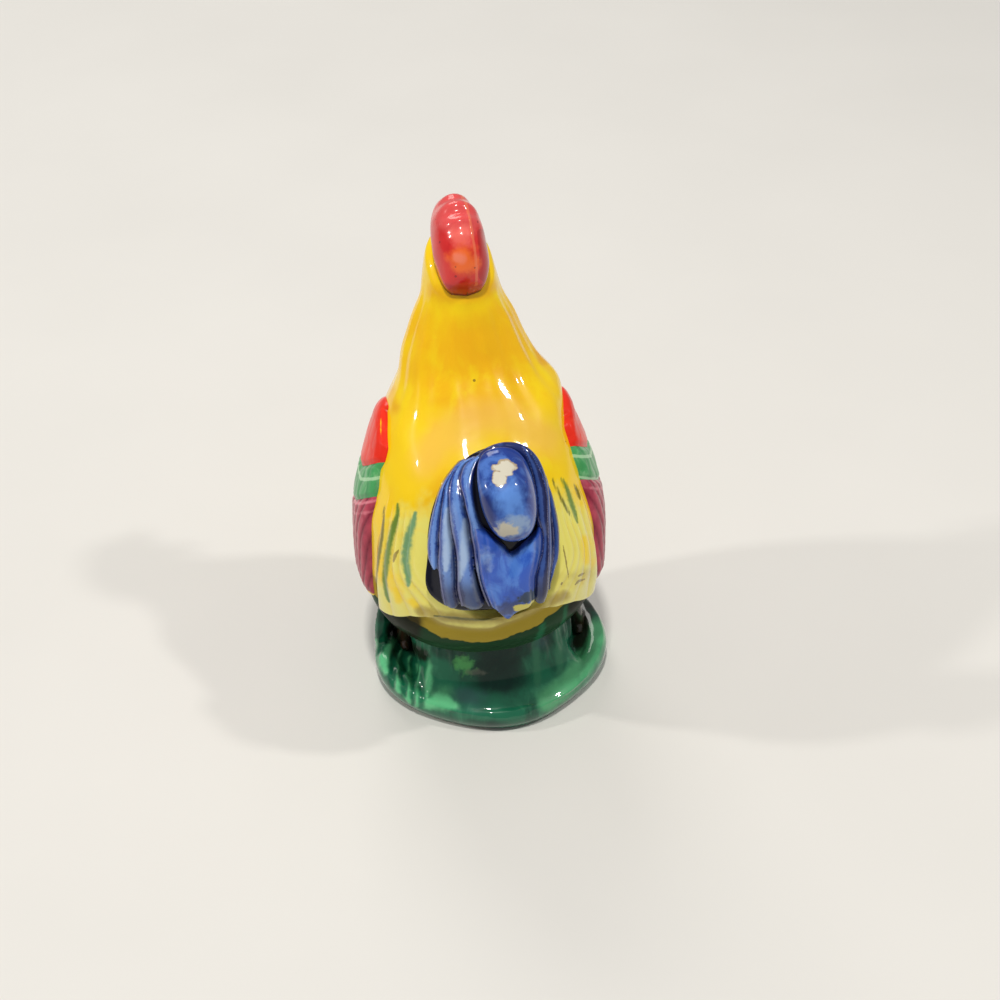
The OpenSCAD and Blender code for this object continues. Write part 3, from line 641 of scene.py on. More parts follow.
def makeBird():
    f = figure
    z = np.concatenate([np.linspace(f["bellyZ"], neckZ, f["bodyRings"]),
                        np.linspace(neckZ, crownZ, f["neckRings"] + 1)[1:]])
    v = np.arange(f["sides"]) * 360 / f["sides"]
    zz, vv = gridOf(z, v)
    p, n = figureAt(zz, vv), figureNormal(zz, vv)
    # soft hackle folds down the neck, and the uneven hand of the mould
    side = mix(0.45, 1, np.abs(np.cos(np.radians(vv))))
    drift = vv + 2.5 * np.sin(zz * 0.16 + 1) + 2 * np.sin(np.radians(vv * 3))
    folds = (np.cos(np.radians(f["folds"] * drift)) - 1) / 2 + 0.16 * np.sin(np.radians(drift * 23 + zz * 4))
    window = np.sin(np.pi * np.clip((zz - neckZ + 3) / (f["neckHeight"] + 4), 0, 1))
    cast = lumpsOf(p, *f["lumps"]) + lumpsOf(p, *f["grain"])
    p = p + n * (f["hackles"] * side * folds * window + cast * ease((zz - f["bellyZ"]) / 3))[..., None]
    p = hollowForTail(p)
    # the crown lies flat under the comb
    local = (p - combStart) @ combFrame
    over = np.maximum(0, local[..., 2] + 0.4)
    p = p - (0.7 * over ** 2 / (over + 0.8))[..., None] * combFrame[:, 2]
    lowRings = np.stack([figureAt(f["bellyZ"] + d, v, by) for d, by in ((0, 2.2), (0, 0.9), (0.25, 0.25))])
    return shellPiece("bird", np.concatenate([lowRings, p[2:]]))


# saddle feathers: one sheet round the tail that ends in a lip over the rump

saddle = {"lowSide": bodyAt(0.195), "lowRear": bodyAt(0.385), "high": bodyAt(0.9), "first": 23.5,
          "lip": 1.35, "feathers": 7.5, "groove": 0.34, "buried": 0.9, "soft": (0.2, 5, 8),
          "rows": 150, "columns": 280}


def saddleU(v, s):
    # how far a place lies from the wing's edge to the feathers' middle line
    side = np.where(v > 90, 180 - v, v)
    last = mix(89.6, 60, ease(s * 2.2))
    return (side - saddle["first"]) / (last - saddle["first"])


def makeSaddle():
    k = saddle
    s = np.linspace(0, 1, k["rows"]) ** 1.25
    v = np.linspace(k["first"], 180 - k["first"], k["columns"])
    ss, vv = gridOf(s, v)
    across = 1 - np.abs(vv - 90) / (90 - k["first"])
    scallop = 0.5 * np.sin(across * 19) * ease(across * 4)
    low = mix(k["lowSide"], k["lowRear"], ease(across * 1.33)) + 0.35 * scallop
    zz = mix(low, k["high"], ss)
    u = saddleU(vv, ss)
    lane = u * k["feathers"] + 0.22 * np.sin(u * 9 + 1) + 0.12 * np.sin(ss * 7 + u * 3)
    ridge = np.abs(np.sin(np.pi * lane)) ** 0.6
    keep = (ease((0.86 - u) / 0.22) * ease((1 - ss) / 0.45) * mix(0.6, 1, ease(ss * 6))
            * mix(1, 0.45, bump(vv, 128, 14) * ease((0.5 - ss) * 4)))
    body = k["lip"] * mix(0.3, 1, ease(1 - ss * 1.3)) * ease((1 - ss) / 0.75)
    off = body - k["groove"] * (1 - ridge) * keep
    off = mix(-0.5, mix(-0.16, off, ease((1 - ss) / 0.3)), ease(np.minimum(across * 9, 1)))
    p, n = figureAt(zz, vv), figureNormal(zz, vv)
    soft = lumpsOf(p, *k["soft"]) * ease((1 - ss) * 3)
    outer = p + n * (off + soft)[..., None]
    # the lip turns under in a round edge
    turned = 1 - ease(ss / 0.035)
    outer = outer - n * (turned * (off + 0.35) * 0.75)[..., None]
    deep = np.concatenate([((1 - ridge) * keep).ravel(), np.ones(ridge.size)])
    return padPiece("saddleFeathers", hollowForTail(outer), hollowForTail(p - n * k["buried"]), deep=deep)


# wings: three reliefs on each side, where u runs from the front edge to the rear

wing = {"front": -50, "rear": 21, "rearRight": 26, "top": 57, "low": 18.5, "thick": 1.45,
        "barLeft": 40, "barRight": 41, "barHeight": 7.2, "barRise": 5.8, "rows": 90, "columns": 120,
        "fade": 3.2, "ends": 0.11, "lip": 0.9, "lipShare": 0.72, "buried": 0.9, "soft": (0.1, 4, 21)}


def parted(t, low, high):
    return np.where(t < 0, low, high) * t * t


def barLow(u, side):
    t = mix(wing["front"], wing["rear"], u) / wing["rear"]
    return (wing["barLeft"] if side > 0 else wing["barRight"]) + wing["barRise"] * np.where(t > 0, t, t * 0.4)


def barHigh(u, side):
    return barLow(u, side) + wing["barHeight"] * mix(1.1, 0.74, u)


def wingHigh(u, side):
    span = wing["top"] - wing["low"]
    return np.maximum(wing["top"] - span * parted(u / 0.748 - 1, 0.31, 0.88), barHigh(u, side) + 1)


def wingLow(u, side):
    span = wing["top"] - wing["low"]
    return wing["low"] + span * parted(u / 0.672 - 1, 0.23, 0.78)


# the glaze's edges on the wings, as places (height, turn from the rooster's side), left and right
wingEdges = {
    1: [(26, 30), (42.5, 30), (43.5, 22), (45.3, 17), (47, 15.3), (49.5, 9), (51.1, 9.7), (52.9, 5.2),
        (54.5, -6), (56.3, -19)],
    -1: [(25, 36), (45, 36), (46, 28), (47.7, 19), (49.9, 16), (51.9, 11), (52.7, 8), (54.4, 4),
         (55.2, -4), (57.5, -10)]}


def turnOf(p):
    # degrees from the rooster's side towards its rear
    return np.degrees(np.arctan2(p[..., 1], np.abs(p[..., 0])))


def pastEdge(p, side):
    # degrees past the edge where the wing's colour ends
    return turnOf(p) - np.interp(p[..., 2], *np.array(wingEdges[side], float).T)


def makeRelief(name, side, low, high, relief, openLow, openHigh):
    # relief(u, s, z) gives the height share, 0 to 1, and how deep each groove lies
    ss, uu = gridOf(np.linspace(0, 1, wing["rows"]), np.linspace(0, 1, wing["columns"]))
    zz = mix(low(uu, side), high(uu, side), ss)
    v = mix(wing["front"], wing["rear"] if side > 0 else wing["rearRight"], uu)
    height, deep = relief(uu, ss, zz)
    length = high(uu, side) - low(uu, side)
    edge = np.minimum(np.minimum(uu / wing["ends"], (1 - uu) / wing["ends"]), 1)
    for isOpen, share in ((openLow, ss), (openHigh, 1 - ss)):
        if isOpen:
            edge = np.minimum(edge, share * length / wing["fade"])
        else:
            height = height * mix(wing["lipShare"], 1, ease(share * length / wing["lip"]))
    edge = np.sqrt(np.clip(edge * (2 - edge), 0, 1))
    vv = v if side > 0 else 180 - v
    p, n = figureAt(zz, vv), figureNormal(zz, vv)
    flush = np.maximum(ease((pastEdge(p, side) + 3) / 4), 1 - ease((zz - 21) / 7))
    off = mix(-0.35, wing["thick"] * height, edge * (1 - flush)) + lumpsOf(p, *wing["soft"]) * (1 - flush)
    outer, inner = p + n * off[..., None], p - n * wing["buried"]
    if side < 0:
        outer, inner, deep = outer[:, ::-1], inner[:, ::-1], deep[:, ::-1]
    return padPiece(name, outer, inner, deep=np.concatenate([deep.ravel(), np.zeros(deep.size)]))


def scales(u, s, z):
    # small overlapping feathers of the shoulder, nearly lost under the glaze
    row = z / 3.4
    lane = u * 9 + 0.5 * (np.floor(row) % 2)
    dome = np.abs(np.sin(np.pi * lane)) ** 0.5 * (0.6 + 0.4 * (row % 1))
    deep = 1 - dome
    return 1 - 0.05 * deep, deep * 0.3


def barFeathers(u, s, z):
    lane = u * 11 + 0.12 * np.sin(z * 1.3 + u * 9)
    dome = np.abs(np.sin(np.pi * lane)) ** 0.7
    return 0.97 - 0.09 * (1 - dome), 1 - dome


def flights(u, s, z):
    # long flight feathers that run together at the tip, each with soft slanting barbs
    lane = 15 * (u - 0.66) * mix(1.35, 0.75, s) + 0.1 * np.sin(s * 11 + u * 7) + 7
    across = lane % 1
    dome = np.abs(np.sin(np.pi * lane)) ** 0.6
    barb = 0.5 + 0.5 * np.sin(z * 2.6 + np.abs(across - 0.45) * 7)
    deep = np.maximum((1 - dome) ** 0.8, 0.3 * barb ** 2)
    return 1 - 0.15 * (1 - dome) - 0.025 * barb, deep


# comb, beak, wattles and eyes

comb = {"length": 18.2, "width": 9.8, "height": 10.4, "lead": 0.165, "notch": 0.05, "points": 5,
        "seam": -1.5, "seamHeight": 0.16, "stations": 90, "arc": 61}


def makeComb():
    rows = np.array([[0, 0.3, 0.3], [0.05, 0.52, 0.52], [0.16, 0.73, 0.78], [0.34, 0.92, 0.96], [0.55, 1, 1],
                     [0.76, 0.98, 0.86], [0.9, 0.82, 0.62], [0.97, 0.6, 0.42], [1, 0.34, 0.26]])
    uu, aa = gridOf(np.linspace(0, 1, comb["stations"]), np.radians(np.linspace(0, 180, comb["arc"])))
    r = rowAt(rows, uu)
    ends = np.sqrt(np.clip(np.minimum(uu / 0.03, (1 - uu) / 0.03), 0.02, 1))
    notches = (1 - uu) * (1 + np.cos(2 * np.pi * comb["points"] * uu)) * ease((0.72 - uu) / 0.25)
    tip = 1 - comb["notch"] * notches
    half, rise = comb["width"] / 2 * r[..., 1] * ends, comb["height"] * r[..., 2] * mix(0.8, 1, ends)
    top = np.sin(aa) ** 0.75
    bulge = mix(0.86, 1, ease(np.sin(aa) * 3))
    x = -half * bulge * np.cos(aa)
    z = rise * top * mix(1, tip, top)
    # the mould's seam, a little to the right of the ridge
    seam = comb["seamHeight"] * bump(x, comb["seam"], 0.35) * ease(np.sin(aa) * 2) * ease((uu - 0.3) / 0.2)
    p = np.stack([x, comb["length"] * (uu - comb["lead"]), z + seam], -1)
    p = p + np.stack([lumpsOf(p, 0.25, 4, 31), 0 * z, lumpsOf(p, 0.3, 4.5, 32) * top], -1)
    # foot marks the comb's dark foot, pooled glaze and painted shade; seam marks the mould's seam
    return shellPiece("comb", combStart + p @ combFrame.T,
                      foot=np.append((1 - ease((z - 0.2) / 1.8)).ravel(), [0, 1]),
                      seam=np.append(bump(x, comb["seam"], 0.3).ravel(), [0, 0]))


beak = {"length": 6.4, "width": 5.6, "height": 3.4, "gap": 0.1, "root": 1.0, "sides": 33, "stations": 40}
faceY = -figure["headLength"] * 0.392
gapeZ = headZ + figure["headHeight"] * 0.36


def makeBill(name, length, half, height, hook, flip):
    rows = np.array([[0, 1, 1], [0.3, 0.92, 0.95], [0.62, 0.66, 0.74], [0.88, 0.34, 0.42], [1, 0.1, 0.14]])
    tt, aa = gridOf(np.linspace(0, 1, beak["stations"]), np.radians(np.linspace(0, 180, beak["sides"])))
    r = rowAt(rows, tt)
    ridge = 1 + 0.12 * bump(aa, math.pi / 2, 0.3)
    x, y = half * r[..., 1] * np.cos(aa), beak["root"] - (length + beak["root"]) * tt
    z = height * r[..., 2] * np.sin(aa) * ridge - hook * tt * tt
    if flip:
        x, z = -x, -z
    return shellPiece(name, onHead(np.stack([x, faceY + y, gapeZ + z - (beak["gap"] if flip else 0)], -1)))


wattle = {"length": 8.4, "width": 4.2, "thick": 2.0, "stations": 48, "sides": 40}


def makeWattle(name, side):
    rows = np.array([[0, 0.3, 0.5], [0.12, 0.72, 0.9], [0.3, 1, 1], [0.55, 0.86, 0.95], [0.8, 0.55, 0.75],
                     [1, 0.3, 0.5]])
    tt, aa = gridOf(np.linspace(0, 1, wattle["stations"]), roundOf(wattle["sides"]))
    r = rowAt(rows, tt)
    ends = np.sqrt(np.clip(tt / 0.06, 0.03, 1))
    low = gapeZ - beak["height"] * 0.66 - wattle["length"]
    x = wattle["width"] / 2 * r[..., 1] * ends * np.cos(aa) + side * wattle["width"] * 0.56
    y = wattle["thick"] / 2 * (r[..., 2] * ends * np.sin(aa) - 1) + faceY - 0.15
    y = y + 0.9 * ease((tt - 0.75) / 0.25)
    p = np.stack([x, y, low + wattle["length"] * tt], -1)
    return shellPiece(name, onHead(p + lumpsOf(p, 0.15, 2.2, 41)[..., None] * np.array([1, 1, 0])))


eye = {"size": 3.0, "proud": 0.6, "angle": 57, "buried": 0.8, "grid": 45}


def makeEye(name, side):
    g = np.linspace(-1, 1, eye["grid"])
    p, q = gridOf(g, g)
    x, y = q * np.sqrt(1 - p * p / 2), p * np.sqrt(1 - q * q / 2)
    reach = np.sqrt(x * x + y * y)
    z = headZ + figure["headHeight"] * 0.4 + y * eye["size"] / 2
    v = -eye["angle"] if side > 0 else 180 + eye["angle"]
    v = v + x * eye["size"] / figure["headWidth"] * 180 / math.pi
    # a pupil's dome inside a low lid ring
    ring = 0.22 * bump(reach, 0.86, 0.12)
    dome = eye["proud"] * np.sqrt(np.clip(1 - reach ** 2 * 0.9, 0, 1))
    lift = mix(-0.3, dome, ease((1 - reach) / 0.1)) + ring
    at, n = figureAt(z, v), figureNormal(z, v)
    return padPiece(name, at + n * lift[..., None], at - n * eye["buried"],
                    reach=np.concatenate([reach.ravel(), np.ones(reach.size)]))


# geometry nodes: trees with named sizes, one for each kind of repeated or rule-made shape

def runTree(name, points, edges, tree, values, **marks):
    # puts a point path through a tree and keeps the plain mesh that comes out
    mesh = bpy.data.meshes.new(name)
    mesh.from_pydata((np.asarray(points, float) * mm).tolist(), edges, [])
    for key, numbers in marks.items():
        numbers = np.asarray(numbers, np.float32)
        kind, field = ("FLOAT_VECTOR", "vector") if numbers.ndim == 2 else ("FLOAT", "value")
        mesh.attributes.new(key, kind, "POINT").data.foreach_set(field, numbers.ravel())
    piece = addObject(name, mesh)
    modifier = piece.modifiers.new(name, "NODES")
    modifier.node_group = tree
    for item in tree.interface.items_tree:
        if item.item_type == "SOCKET" and item.in_out == "INPUT" and item.name in values:
            modifier[item.identifier] = values[item.name]
    return finished(piece)


def attributeOf(tree, key, kind="FLOAT"):
    node = addNode(tree, "GeometryNodeInputNamedAttribute", {"data_type": kind}, Name=key)
    return node.outputs["Attribute"]


def endTree(tree, geometry, given, out):
    smooth = addNode(tree, "GeometryNodeSetShadeSmooth", Geometry=geometry)
    real = addNode(tree, "GeometryNodeRealizeInstances", Geometry=smooth)
    feed(tree, out, addNode(tree, "GeometryNodeSetMaterial", Geometry=real, Material=given["Material"]))
    return tree


def rollAlong(tree, spine, sides, thick):
    ring = addNode(tree, "GeometryNodeCurvePrimitiveCircle", Resolution=sides, Radius=1.0)
    return addNode(tree, "GeometryNodeCurveToMesh", Curve=spine, Profile_Curve=ring, Fill_Caps=True,
                   Scale=thick)


def buildRollTree():
    # rolls of clay along paths; the paths' own "thick" says how stout they are, in metres
    tree, given, out = newGroup("clayRolls", "GeometryNodeTree", {
        "Geometry": None, "Spacing": 0.0004, "Sides": 20, "Material": None}, "Geometry", "Geometry")
    path = addNode(tree, "GeometryNodeMeshToCurve", Mesh=given["Geometry"])
    spine = addNode(tree, "GeometryNodeResampleCurve", {"mode": "LENGTH"}, Curve=path,
                    Length=given["Spacing"])
    return endTree(tree, rollAlong(tree, spine, given["Sides"], attributeOf(tree, "thick")), given, out)


def buildBladeTree():
    # grass blades set on points, each leaning its own way
    tree, given, out = newGroup("grassBlades", "GeometryNodeTree", {
        "Geometry": None, "Blade Width": 0.0011, "Blade Length": 0.009, "Lean": 0.2, "Seed": 4,
        "Material": None}, "Geometry", "Geometry")
    end = joinAxes(tree, 0.0, 0.0, given["Blade Length"])
    line = addNode(tree, "GeometryNodeCurvePrimitiveLine", End=end)
    spine = addNode(tree, "GeometryNodeResampleCurve", Curve=line, Count=7)
    along = addNode(tree, "GeometryNodeSplineParameter").outputs["Factor"]
    taper = curveOf(tree, along, [(0, 0.75), (0.3, 1), (0.7, 0.7), (1, 0.12)])
    blade = rollAlong(tree, spine, 6, taper * given["Blade Width"])
    stand = addNode(tree, "FunctionNodeAlignRotationToVector", {"axis": "Z"},
                    Vector=attributeOf(tree, "grow", "FLOAT_VECTOR"))
    spread = joinAxes(tree, given["Lean"], given["Lean"], 3.0)
    back = addNode(tree, "ShaderNodeVectorMath", {"operation": "SCALE"}, Vector=spread, Scale=-1.0)
    swing = addNode(tree, "FunctionNodeRandomValue", {"data_type": "FLOAT_VECTOR"}, Min=back, Max=spread,
                    Seed=given["Seed"])
    euler = addNode(tree, "FunctionNodeEulerToRotation", Euler=swing)
    turned = addNode(tree, "FunctionNodeRotateRotation", {"rotation_space": "LOCAL"}, Rotation=stand,
                     Rotate_By=euler)
    size = addNode(tree, "FunctionNodeRandomValue", {"data_type": "FLOAT"},
                   Seed=calc(tree, "ADD", given["Seed"], 7))
    feed(tree, size.inputs[2], 0.7)
    feed(tree, size.inputs[3], 1.15)
    cloud = addNode(tree, "GeometryNodeMeshToPoints", Mesh=given["Geometry"])
    placed = addNode(tree, "GeometryNodeInstanceOnPoints", Points=cloud, Instance=blade, Rotation=turned,
                     Scale=size.outputs[1])
    return endTree(tree, placed, given, out)


# shares of the mound's size on the way from the middle of its floor over the rim to the foot's hollow, then
# how deep its slanting grooves are along that way, band, and round it, sector
moundCurves = {
    "reach": [(0, 0), (0.2, 0.6), (0.3, 0.8), (0.36, 0.87), (0.42, 0.935), (0.48, 0.985), (0.54, 1.0),
              (0.6, 0.97), (0.64, 0.925), (0.68, 0.86), (0.72, 0.72), (0.75, 0.7), (0.88, 0.16),
              (0.9, 0.155), (0.93, 0.15), (1, 0)],
    "rise": [(0, 0.733), (0.2, 0.74), (0.3, 0.82), (0.36, 0.98), (0.42, 0.97), (0.48, 0.8), (0.54, 0.5),
             (0.6, 0.16), (0.64, 0.0), (0.68, 0.0), (0.72, 0.01), (0.75, 0.13), (0.88, 0.13),
             (0.9, 0.15), (0.93, 0.45), (1, 0.45)],
    "band": [(0, 0), (0.24, 0), (0.32, 0.7), (0.4, 1), (0.5, 0.8), (0.58, 0.2), (0.64, 0), (1, 0)],
    "sector": [(0, 0.1), (0.04, 0.1), (0.14, 0.1), (0.22, 0.05), (0.3, 0.05), (0.45, 0.03), (0.6, 0.1),
               (0.75, 0.5), (0.92, 0.5), (1, 0.1)],
}


def buildMoundTree():
    # the mound: a grid rolled round into one closed skin
    tree, given, out = newGroup("moundForm", "GeometryNodeTree", {
        "Geometry": None, "Width": 0.0452, "Depth": 0.0434, "Height": 0.006, "Shift": 0.0019,
        "Rear Share": 0.82, "Left Corner": math.radians(66), "Left Flat": 0.04,
        "Right Corner": math.radians(134), "Right Flat": 0.08, "Groove Depth": 0.00045, "Grooves": 60.0,
        "Groove Slant": 70.0, "Sides": 361, "Rings": 150, "Material": None}, "Geometry", "Geometry")
    grid = fedNode(tree, "GeometryNodeMeshGrid", (1.0, 1.0, given["Sides"], given["Rings"]))
    place = addNode(tree, "ShaderNodeSeparateXYZ", Vector=tree.nodes.new("GeometryNodeInputPosition"))
    turn = (treeNumber(tree, place.outputs["X"]) + 0.5) * (2 * math.pi)
    along = treeNumber(tree, place.outputs["Y"]) + 0.5
    reach, rise, band = (curveOf(tree, along, moundCurves[key]) for key in ("reach", "rise", "band"))
    sector = curveOf(tree, turn.then("DIVIDE", 2 * math.pi), moundCurves["sector"])
    sine, cosine = turn.then("SINE"), turn.then("COSINE")
    # the plan is not quite round, and two of its corners are flatter
    waver = (turn * 3.0 + 0.7).then("SINE") * 0.012 + (turn * 5.0).then("SINE") * 0.008 + 1.0
    for corner in ("Left", "Right"):
        away = (turn - given[corner + " Corner"]).then("COSINE")
        waver = waver - away.then("MAXIMUM", 0.0).then("POWER", 6.0) * given[corner + " Flat"]
    radius = reach * waver * 0.5
    phase = turn * given["Grooves"] - reach * given["Groove Slant"]
    cut = (phase.then("SINE") - 0.4) * (sector * band * given["Groove Depth"])
    x = cosine * (radius * given["Width"] + cut * 0.5) - given["Shift"]
    y = sine * (radius * given["Depth"] + cut * 0.5)
    z = rise * given["Height"] * smoothStep(tree, sine, 0.0, 1.0, 1.0, given["Rear Share"]) + cut
    spot = joinAxes(tree, x, y, z.then("MAXIMUM", 0.0))
    moved = addNode(tree, "GeometryNodeSetPosition", Geometry=grid, Position=spot)
    closed = addNode(tree, "GeometryNodeMergeByDistance", Geometry=moved, Distance=0.00001)
    return endTree(tree, closed, given, out)


clayRolls, grassBlades, moundForm = buildRollTree(), buildBladeTree(), buildMoundTree()
print("geometry node trees built")


def rolls(name, routes, widths):
    # several paths as one mesh of edges, made into rolls of clay
    points, edges, thick = [], [], []
    for route, width in zip(routes, widths):
        start = len(points)
        points += list(route)
        thick += [w * mm for w in width]
        edges += [(start + i, start + i + 1) for i in range(len(route) - 1)]
    return runTree(name, points, edges, clayRolls, {"Spacing": 0.0004, "Sides": 20}, thick=thick)


def smoothPath(points, count):
    # an even path through a few points
    rows = np.column_stack([np.arange(len(points)), np.asarray(points, float)])
    return rowAt(rows, np.linspace(0, len(points) - 1, count))[:, 1:]


# mound and grass

mound = {"width": 45.2, "depth": 43.4, "shift": 1.9, "rim": 6.0, "floor": 4.4, "meet": 4.2, "rear": 0.82,
         "grooves": 35.0, "slant": 90.0, "voxel": 0.24, "soften": 8, "leaf": 0.32, "valleyWidth": 1.5}
tuft = {"width": mound["width"] * 0.7, "depth": mound["depth"] * 0.69, "relief": 0.55, "grooves": 28,
        "flare": 0.16, "niche": 2.6, "rings": 80, "sides": 336, "blades": 70, "bladeWidth": 0.62,
        "bladeLength": 7.5, "lean": 0.04, "seed": 4, "frontReach": 21.4, "frontLength": 12.5,
        "frontStout": 2.2, "frontLean": 0.07}


def tuftAt(t, a, off=0.0):
    # a point of the tuft's side; t runs from the floor to the belly
    t, a = np.broadcast_arrays(t, a)
    c, s = np.cos(a), np.sin(a)
    spread = 1 + tuft["flare"] * (1 - t) ** 1.7 * ease(np.abs(s) * 1.6 - 0.3)
    shift = mix(mound["shift"], mound["shift"] / 2, t)
    aside = np.abs(s + 0.06)
    niche = np.where(np.abs(c) < 0.5, 0, tuft["niche"] * ease(1.6 - aside * 4.5))
    return np.stack([(tuft["width"] / 2 * spread + off - niche) * c - shift,
                     (tuft["depth"] / 2 * spread + off) * s,
                     mix(mound["floor"] - 0.8, figure["bellyZ"] + 0.3, t)], -1)


def growBlades(name, spots, grow, width, length, lean, seed):
    return runTree(name, spots, [], grassBlades, {
        "Blade Width": width * mm, "Blade Length": length * mm, "Lean": lean, "Seed": seed}, grow=grow)


def makeTuft():
    k = tuft
    tt, aa = gridOf(np.linspace(0, 1, k["rings"]), roundOf(k["sides"]))
    # broad grooves between the blades, worn nearly smooth at the foot of the rear slope
    worn = bump(aa, 1.45, 1.0) * (1 - 0.5 * ease(tt - 0.4))
    phase = aa * k["grooves"] + 0.9 * np.sin(aa * 5 + tt * 2)
    streak = -((0.5 + 0.5 * np.cos(phase)) ** 2) + 0.22 * np.sin(aa * 61 + tt * 3)
    p = tuftAt(tt, aa, k["relief"] * streak * (1 - 0.92 * worn))
    core = shellPiece("tuftCore", p + lumpsOf(p, 0.22, 5, 61)[..., None])
    rng = np.random.default_rng(k["seed"])
    spots, grow = [], []
    while len(spots) < k["blades"]:
        angle, t0 = rng.uniform(0, 2 * np.pi), rng.uniform(0.03, 0.5)
        slip = rng.uniform(-0.07, 0.07)
        if bump(angle, 1.35, 0.6) > 0.2 and t0 < 0.4:
            continue
        here, there = tuftAt(t0, angle, -0.25), tuftAt(t0 + 0.45, angle + slip, -0.3)
        spots.append(here)
        grow.append((there - here) / np.linalg.norm(there - here))
    blades = growBlades("tuftBlades", spots, grow, k["bladeWidth"], k["bladeLength"], k["lean"], k["seed"])
    # taller blades lean against the belly at the left front
    front = np.radians(np.linspace(-36, -2, 13))
    spots = np.stack([k["frontReach"] * np.cos(front) - mound["shift"], 0.9 * k["frontReach"] * np.sin(front),
                      np.full(front.shape, mound["meet"])], -1)
    grow = np.array([-0.06, 0.0, 1.0]) + np.stack([-0.05 * np.cos(front), 0 * front, 0 * front], -1)
    tall = growBlades("tallBlades", spots, grow, k["bladeWidth"] * k["frontStout"], k["frontLength"],
                      k["frontLean"], k["seed"] + 5)
    return [core, blades, tall]


def makeMound():
    rim = runTree("rim", [(0, 0, 0)], [], moundForm, {
        "Width": mound["width"] * mm, "Depth": mound["depth"] * mm, "Height": mound["rim"] * mm,
        "Shift": mound["shift"] * mm, "Rear Share": mound["rear"], "Grooves": mound["grooves"],
        "Groove Slant": mound["slant"]})
    piece = melt("mound", [facesOut(rim), makeSkirt()] + makeTuft(), mound["voxel"], mound["soften"])
    # leaves pressed into the left rear, each with a sharp valley beside it
    p = pointsOf(piece)
    normals = np.empty(p.size)
    piece.data.vertices.foreach_get("normal", normals)
    valley, crest = leafMarks(p)
    p = p - normals.reshape(-1, 3) * (mound["leaf"] * (0.7 * valley - 0.4 * crest))[:, None]
    piece.data.vertices.foreach_set("co", (p * mm).ravel())
    piece.data.update()
    return piece


skirt = {"reach": 0.945, "corner": 5.4, "rows": 46, "columns": 200}


def makeSkirt():
    # slip and glaze fill the angle behind the legs with one smooth slope
    tt, aa = gridOf(np.linspace(0, 1, skirt["rows"]), np.radians(np.linspace(16, 164, skirt["columns"])))
    spread = np.degrees(aa)
    full = ease((spread - 20) / 22) * ease((162 - spread) / 20)
    low = np.stack([mound["width"] / 2 * skirt["reach"] * np.cos(aa) - mound["shift"],
                    mound["depth"] / 2 * skirt["reach"] * np.sin(aa), np.full(aa.shape, mound["meet"])], -1)
    corner, top = tuftAt(0.2, aa, 0.3), tuftAt(0.78, aa, -0.2)
    corner[..., 2] = skirt["corner"]
    t = tt[..., None]
    slope = (1 - t) ** 2 * low + 2 * t * (1 - t) * corner + t ** 2 * top
    hidden = tuftAt(0.1 + 0.5 * tt, aa, -1.4)
    outer = mix(hidden, slope, full[..., None])
    return facesOut(padPiece("skirt", outer, outer * np.array([0.9, 0.9, 1]) - np.array([0, 0, 1.2])))


# the valleys between the leaves at the left rear, from the rim's far side to the back, and the leaves'
# crests with their widths
leafValleys = [[(20.2, 1.5, 5.0), (19.3, -0.2, 5.6), (18.2, -2.0, 5.9)],
               [(15.6, -1.6, 4.4), (16.8, 1.3, 4.4), (17.7, 6.4, 5.6), (17.8, 9.9, 4.1)],
               [(14.6, 0, 4.4), (15.4, 3.2, 4.4), (15.9, 7.6, 5.1), (16, 12.5, 4.0)],
               [(13.0, 5.9, 8.3), (13.7, 5.4, 4.4), (14.2, 9.9, 5.0), (14.6, 13.9, 3.1)],
               [(11.3, 9.2, 9.6), (12.2, 9.2, 6.1), (12.9, 12.4, 5.2), (12.8, 15.1, 3.1)]]
leafCrests = [([(20.0, -1.0, 5.8), (19.9, 0.8, 5.4), (19.6, 2.6, 5.2)], 1.6),
              ([(17.6, -1.0, 5.0), (18.2, 1.6, 5.2), (18.8, 3.8, 5.4), (19.2, 6.4, 4.9)], 2.9),
              ([(16.1, 1.5, 4.4), (16.8, 7.6, 5.6), (17.0, 11.4, 4.0)], 2.1),
              ([(14.5, 3.6, 4.4), (15.0, 10.2, 5.4), (15.4, 13.9, 3.6)], 2.1),
              ([(12.8, 5.6, 4.4), (13.6, 11.9, 5.2), (13.8, 15.1, 3.4)], 2.1),
              ([(10.9, 10.2, 9.5), (11.4, 10.4, 5.0), (11.9, 13.6, 4.6)], 1.9),
              ([(12.6, 15.6, 4.0), (9.7, 15.7, 4.8), (7.4, 17.0, 4.5)], 2.7)]


def leafMarks(p):
    # how deep in a valley between two leaves a place of the mound lies, and how high on a leaf's crest
    bent = p + 0.35 * np.stack([clayNoise(p, 2.2, 91), clayNoise(p, 2.2, 92), np.zeros(len(p))], -1)
    x, y, z = p.T
    near = ease((x - 4) / 3) * ease((z - 0.8) / 1.5) * ease((y + 4) / 3) * ease((12 - z) / 3)
    valley = strokesOf(bent, [(route, mound["valleyWidth"]) for route in leafValleys], 0, 0.4) * near
    crest = strokesOf(bent, leafCrests, 0, 0.4) * near
    return valley, crest * (1 - 0.8 * valley)


leg = {"thick": 3.2, "toe": 4.0, "toes": (-28, 0, 28), "spur": 180, "voxel": 0.2, "soften": 4}


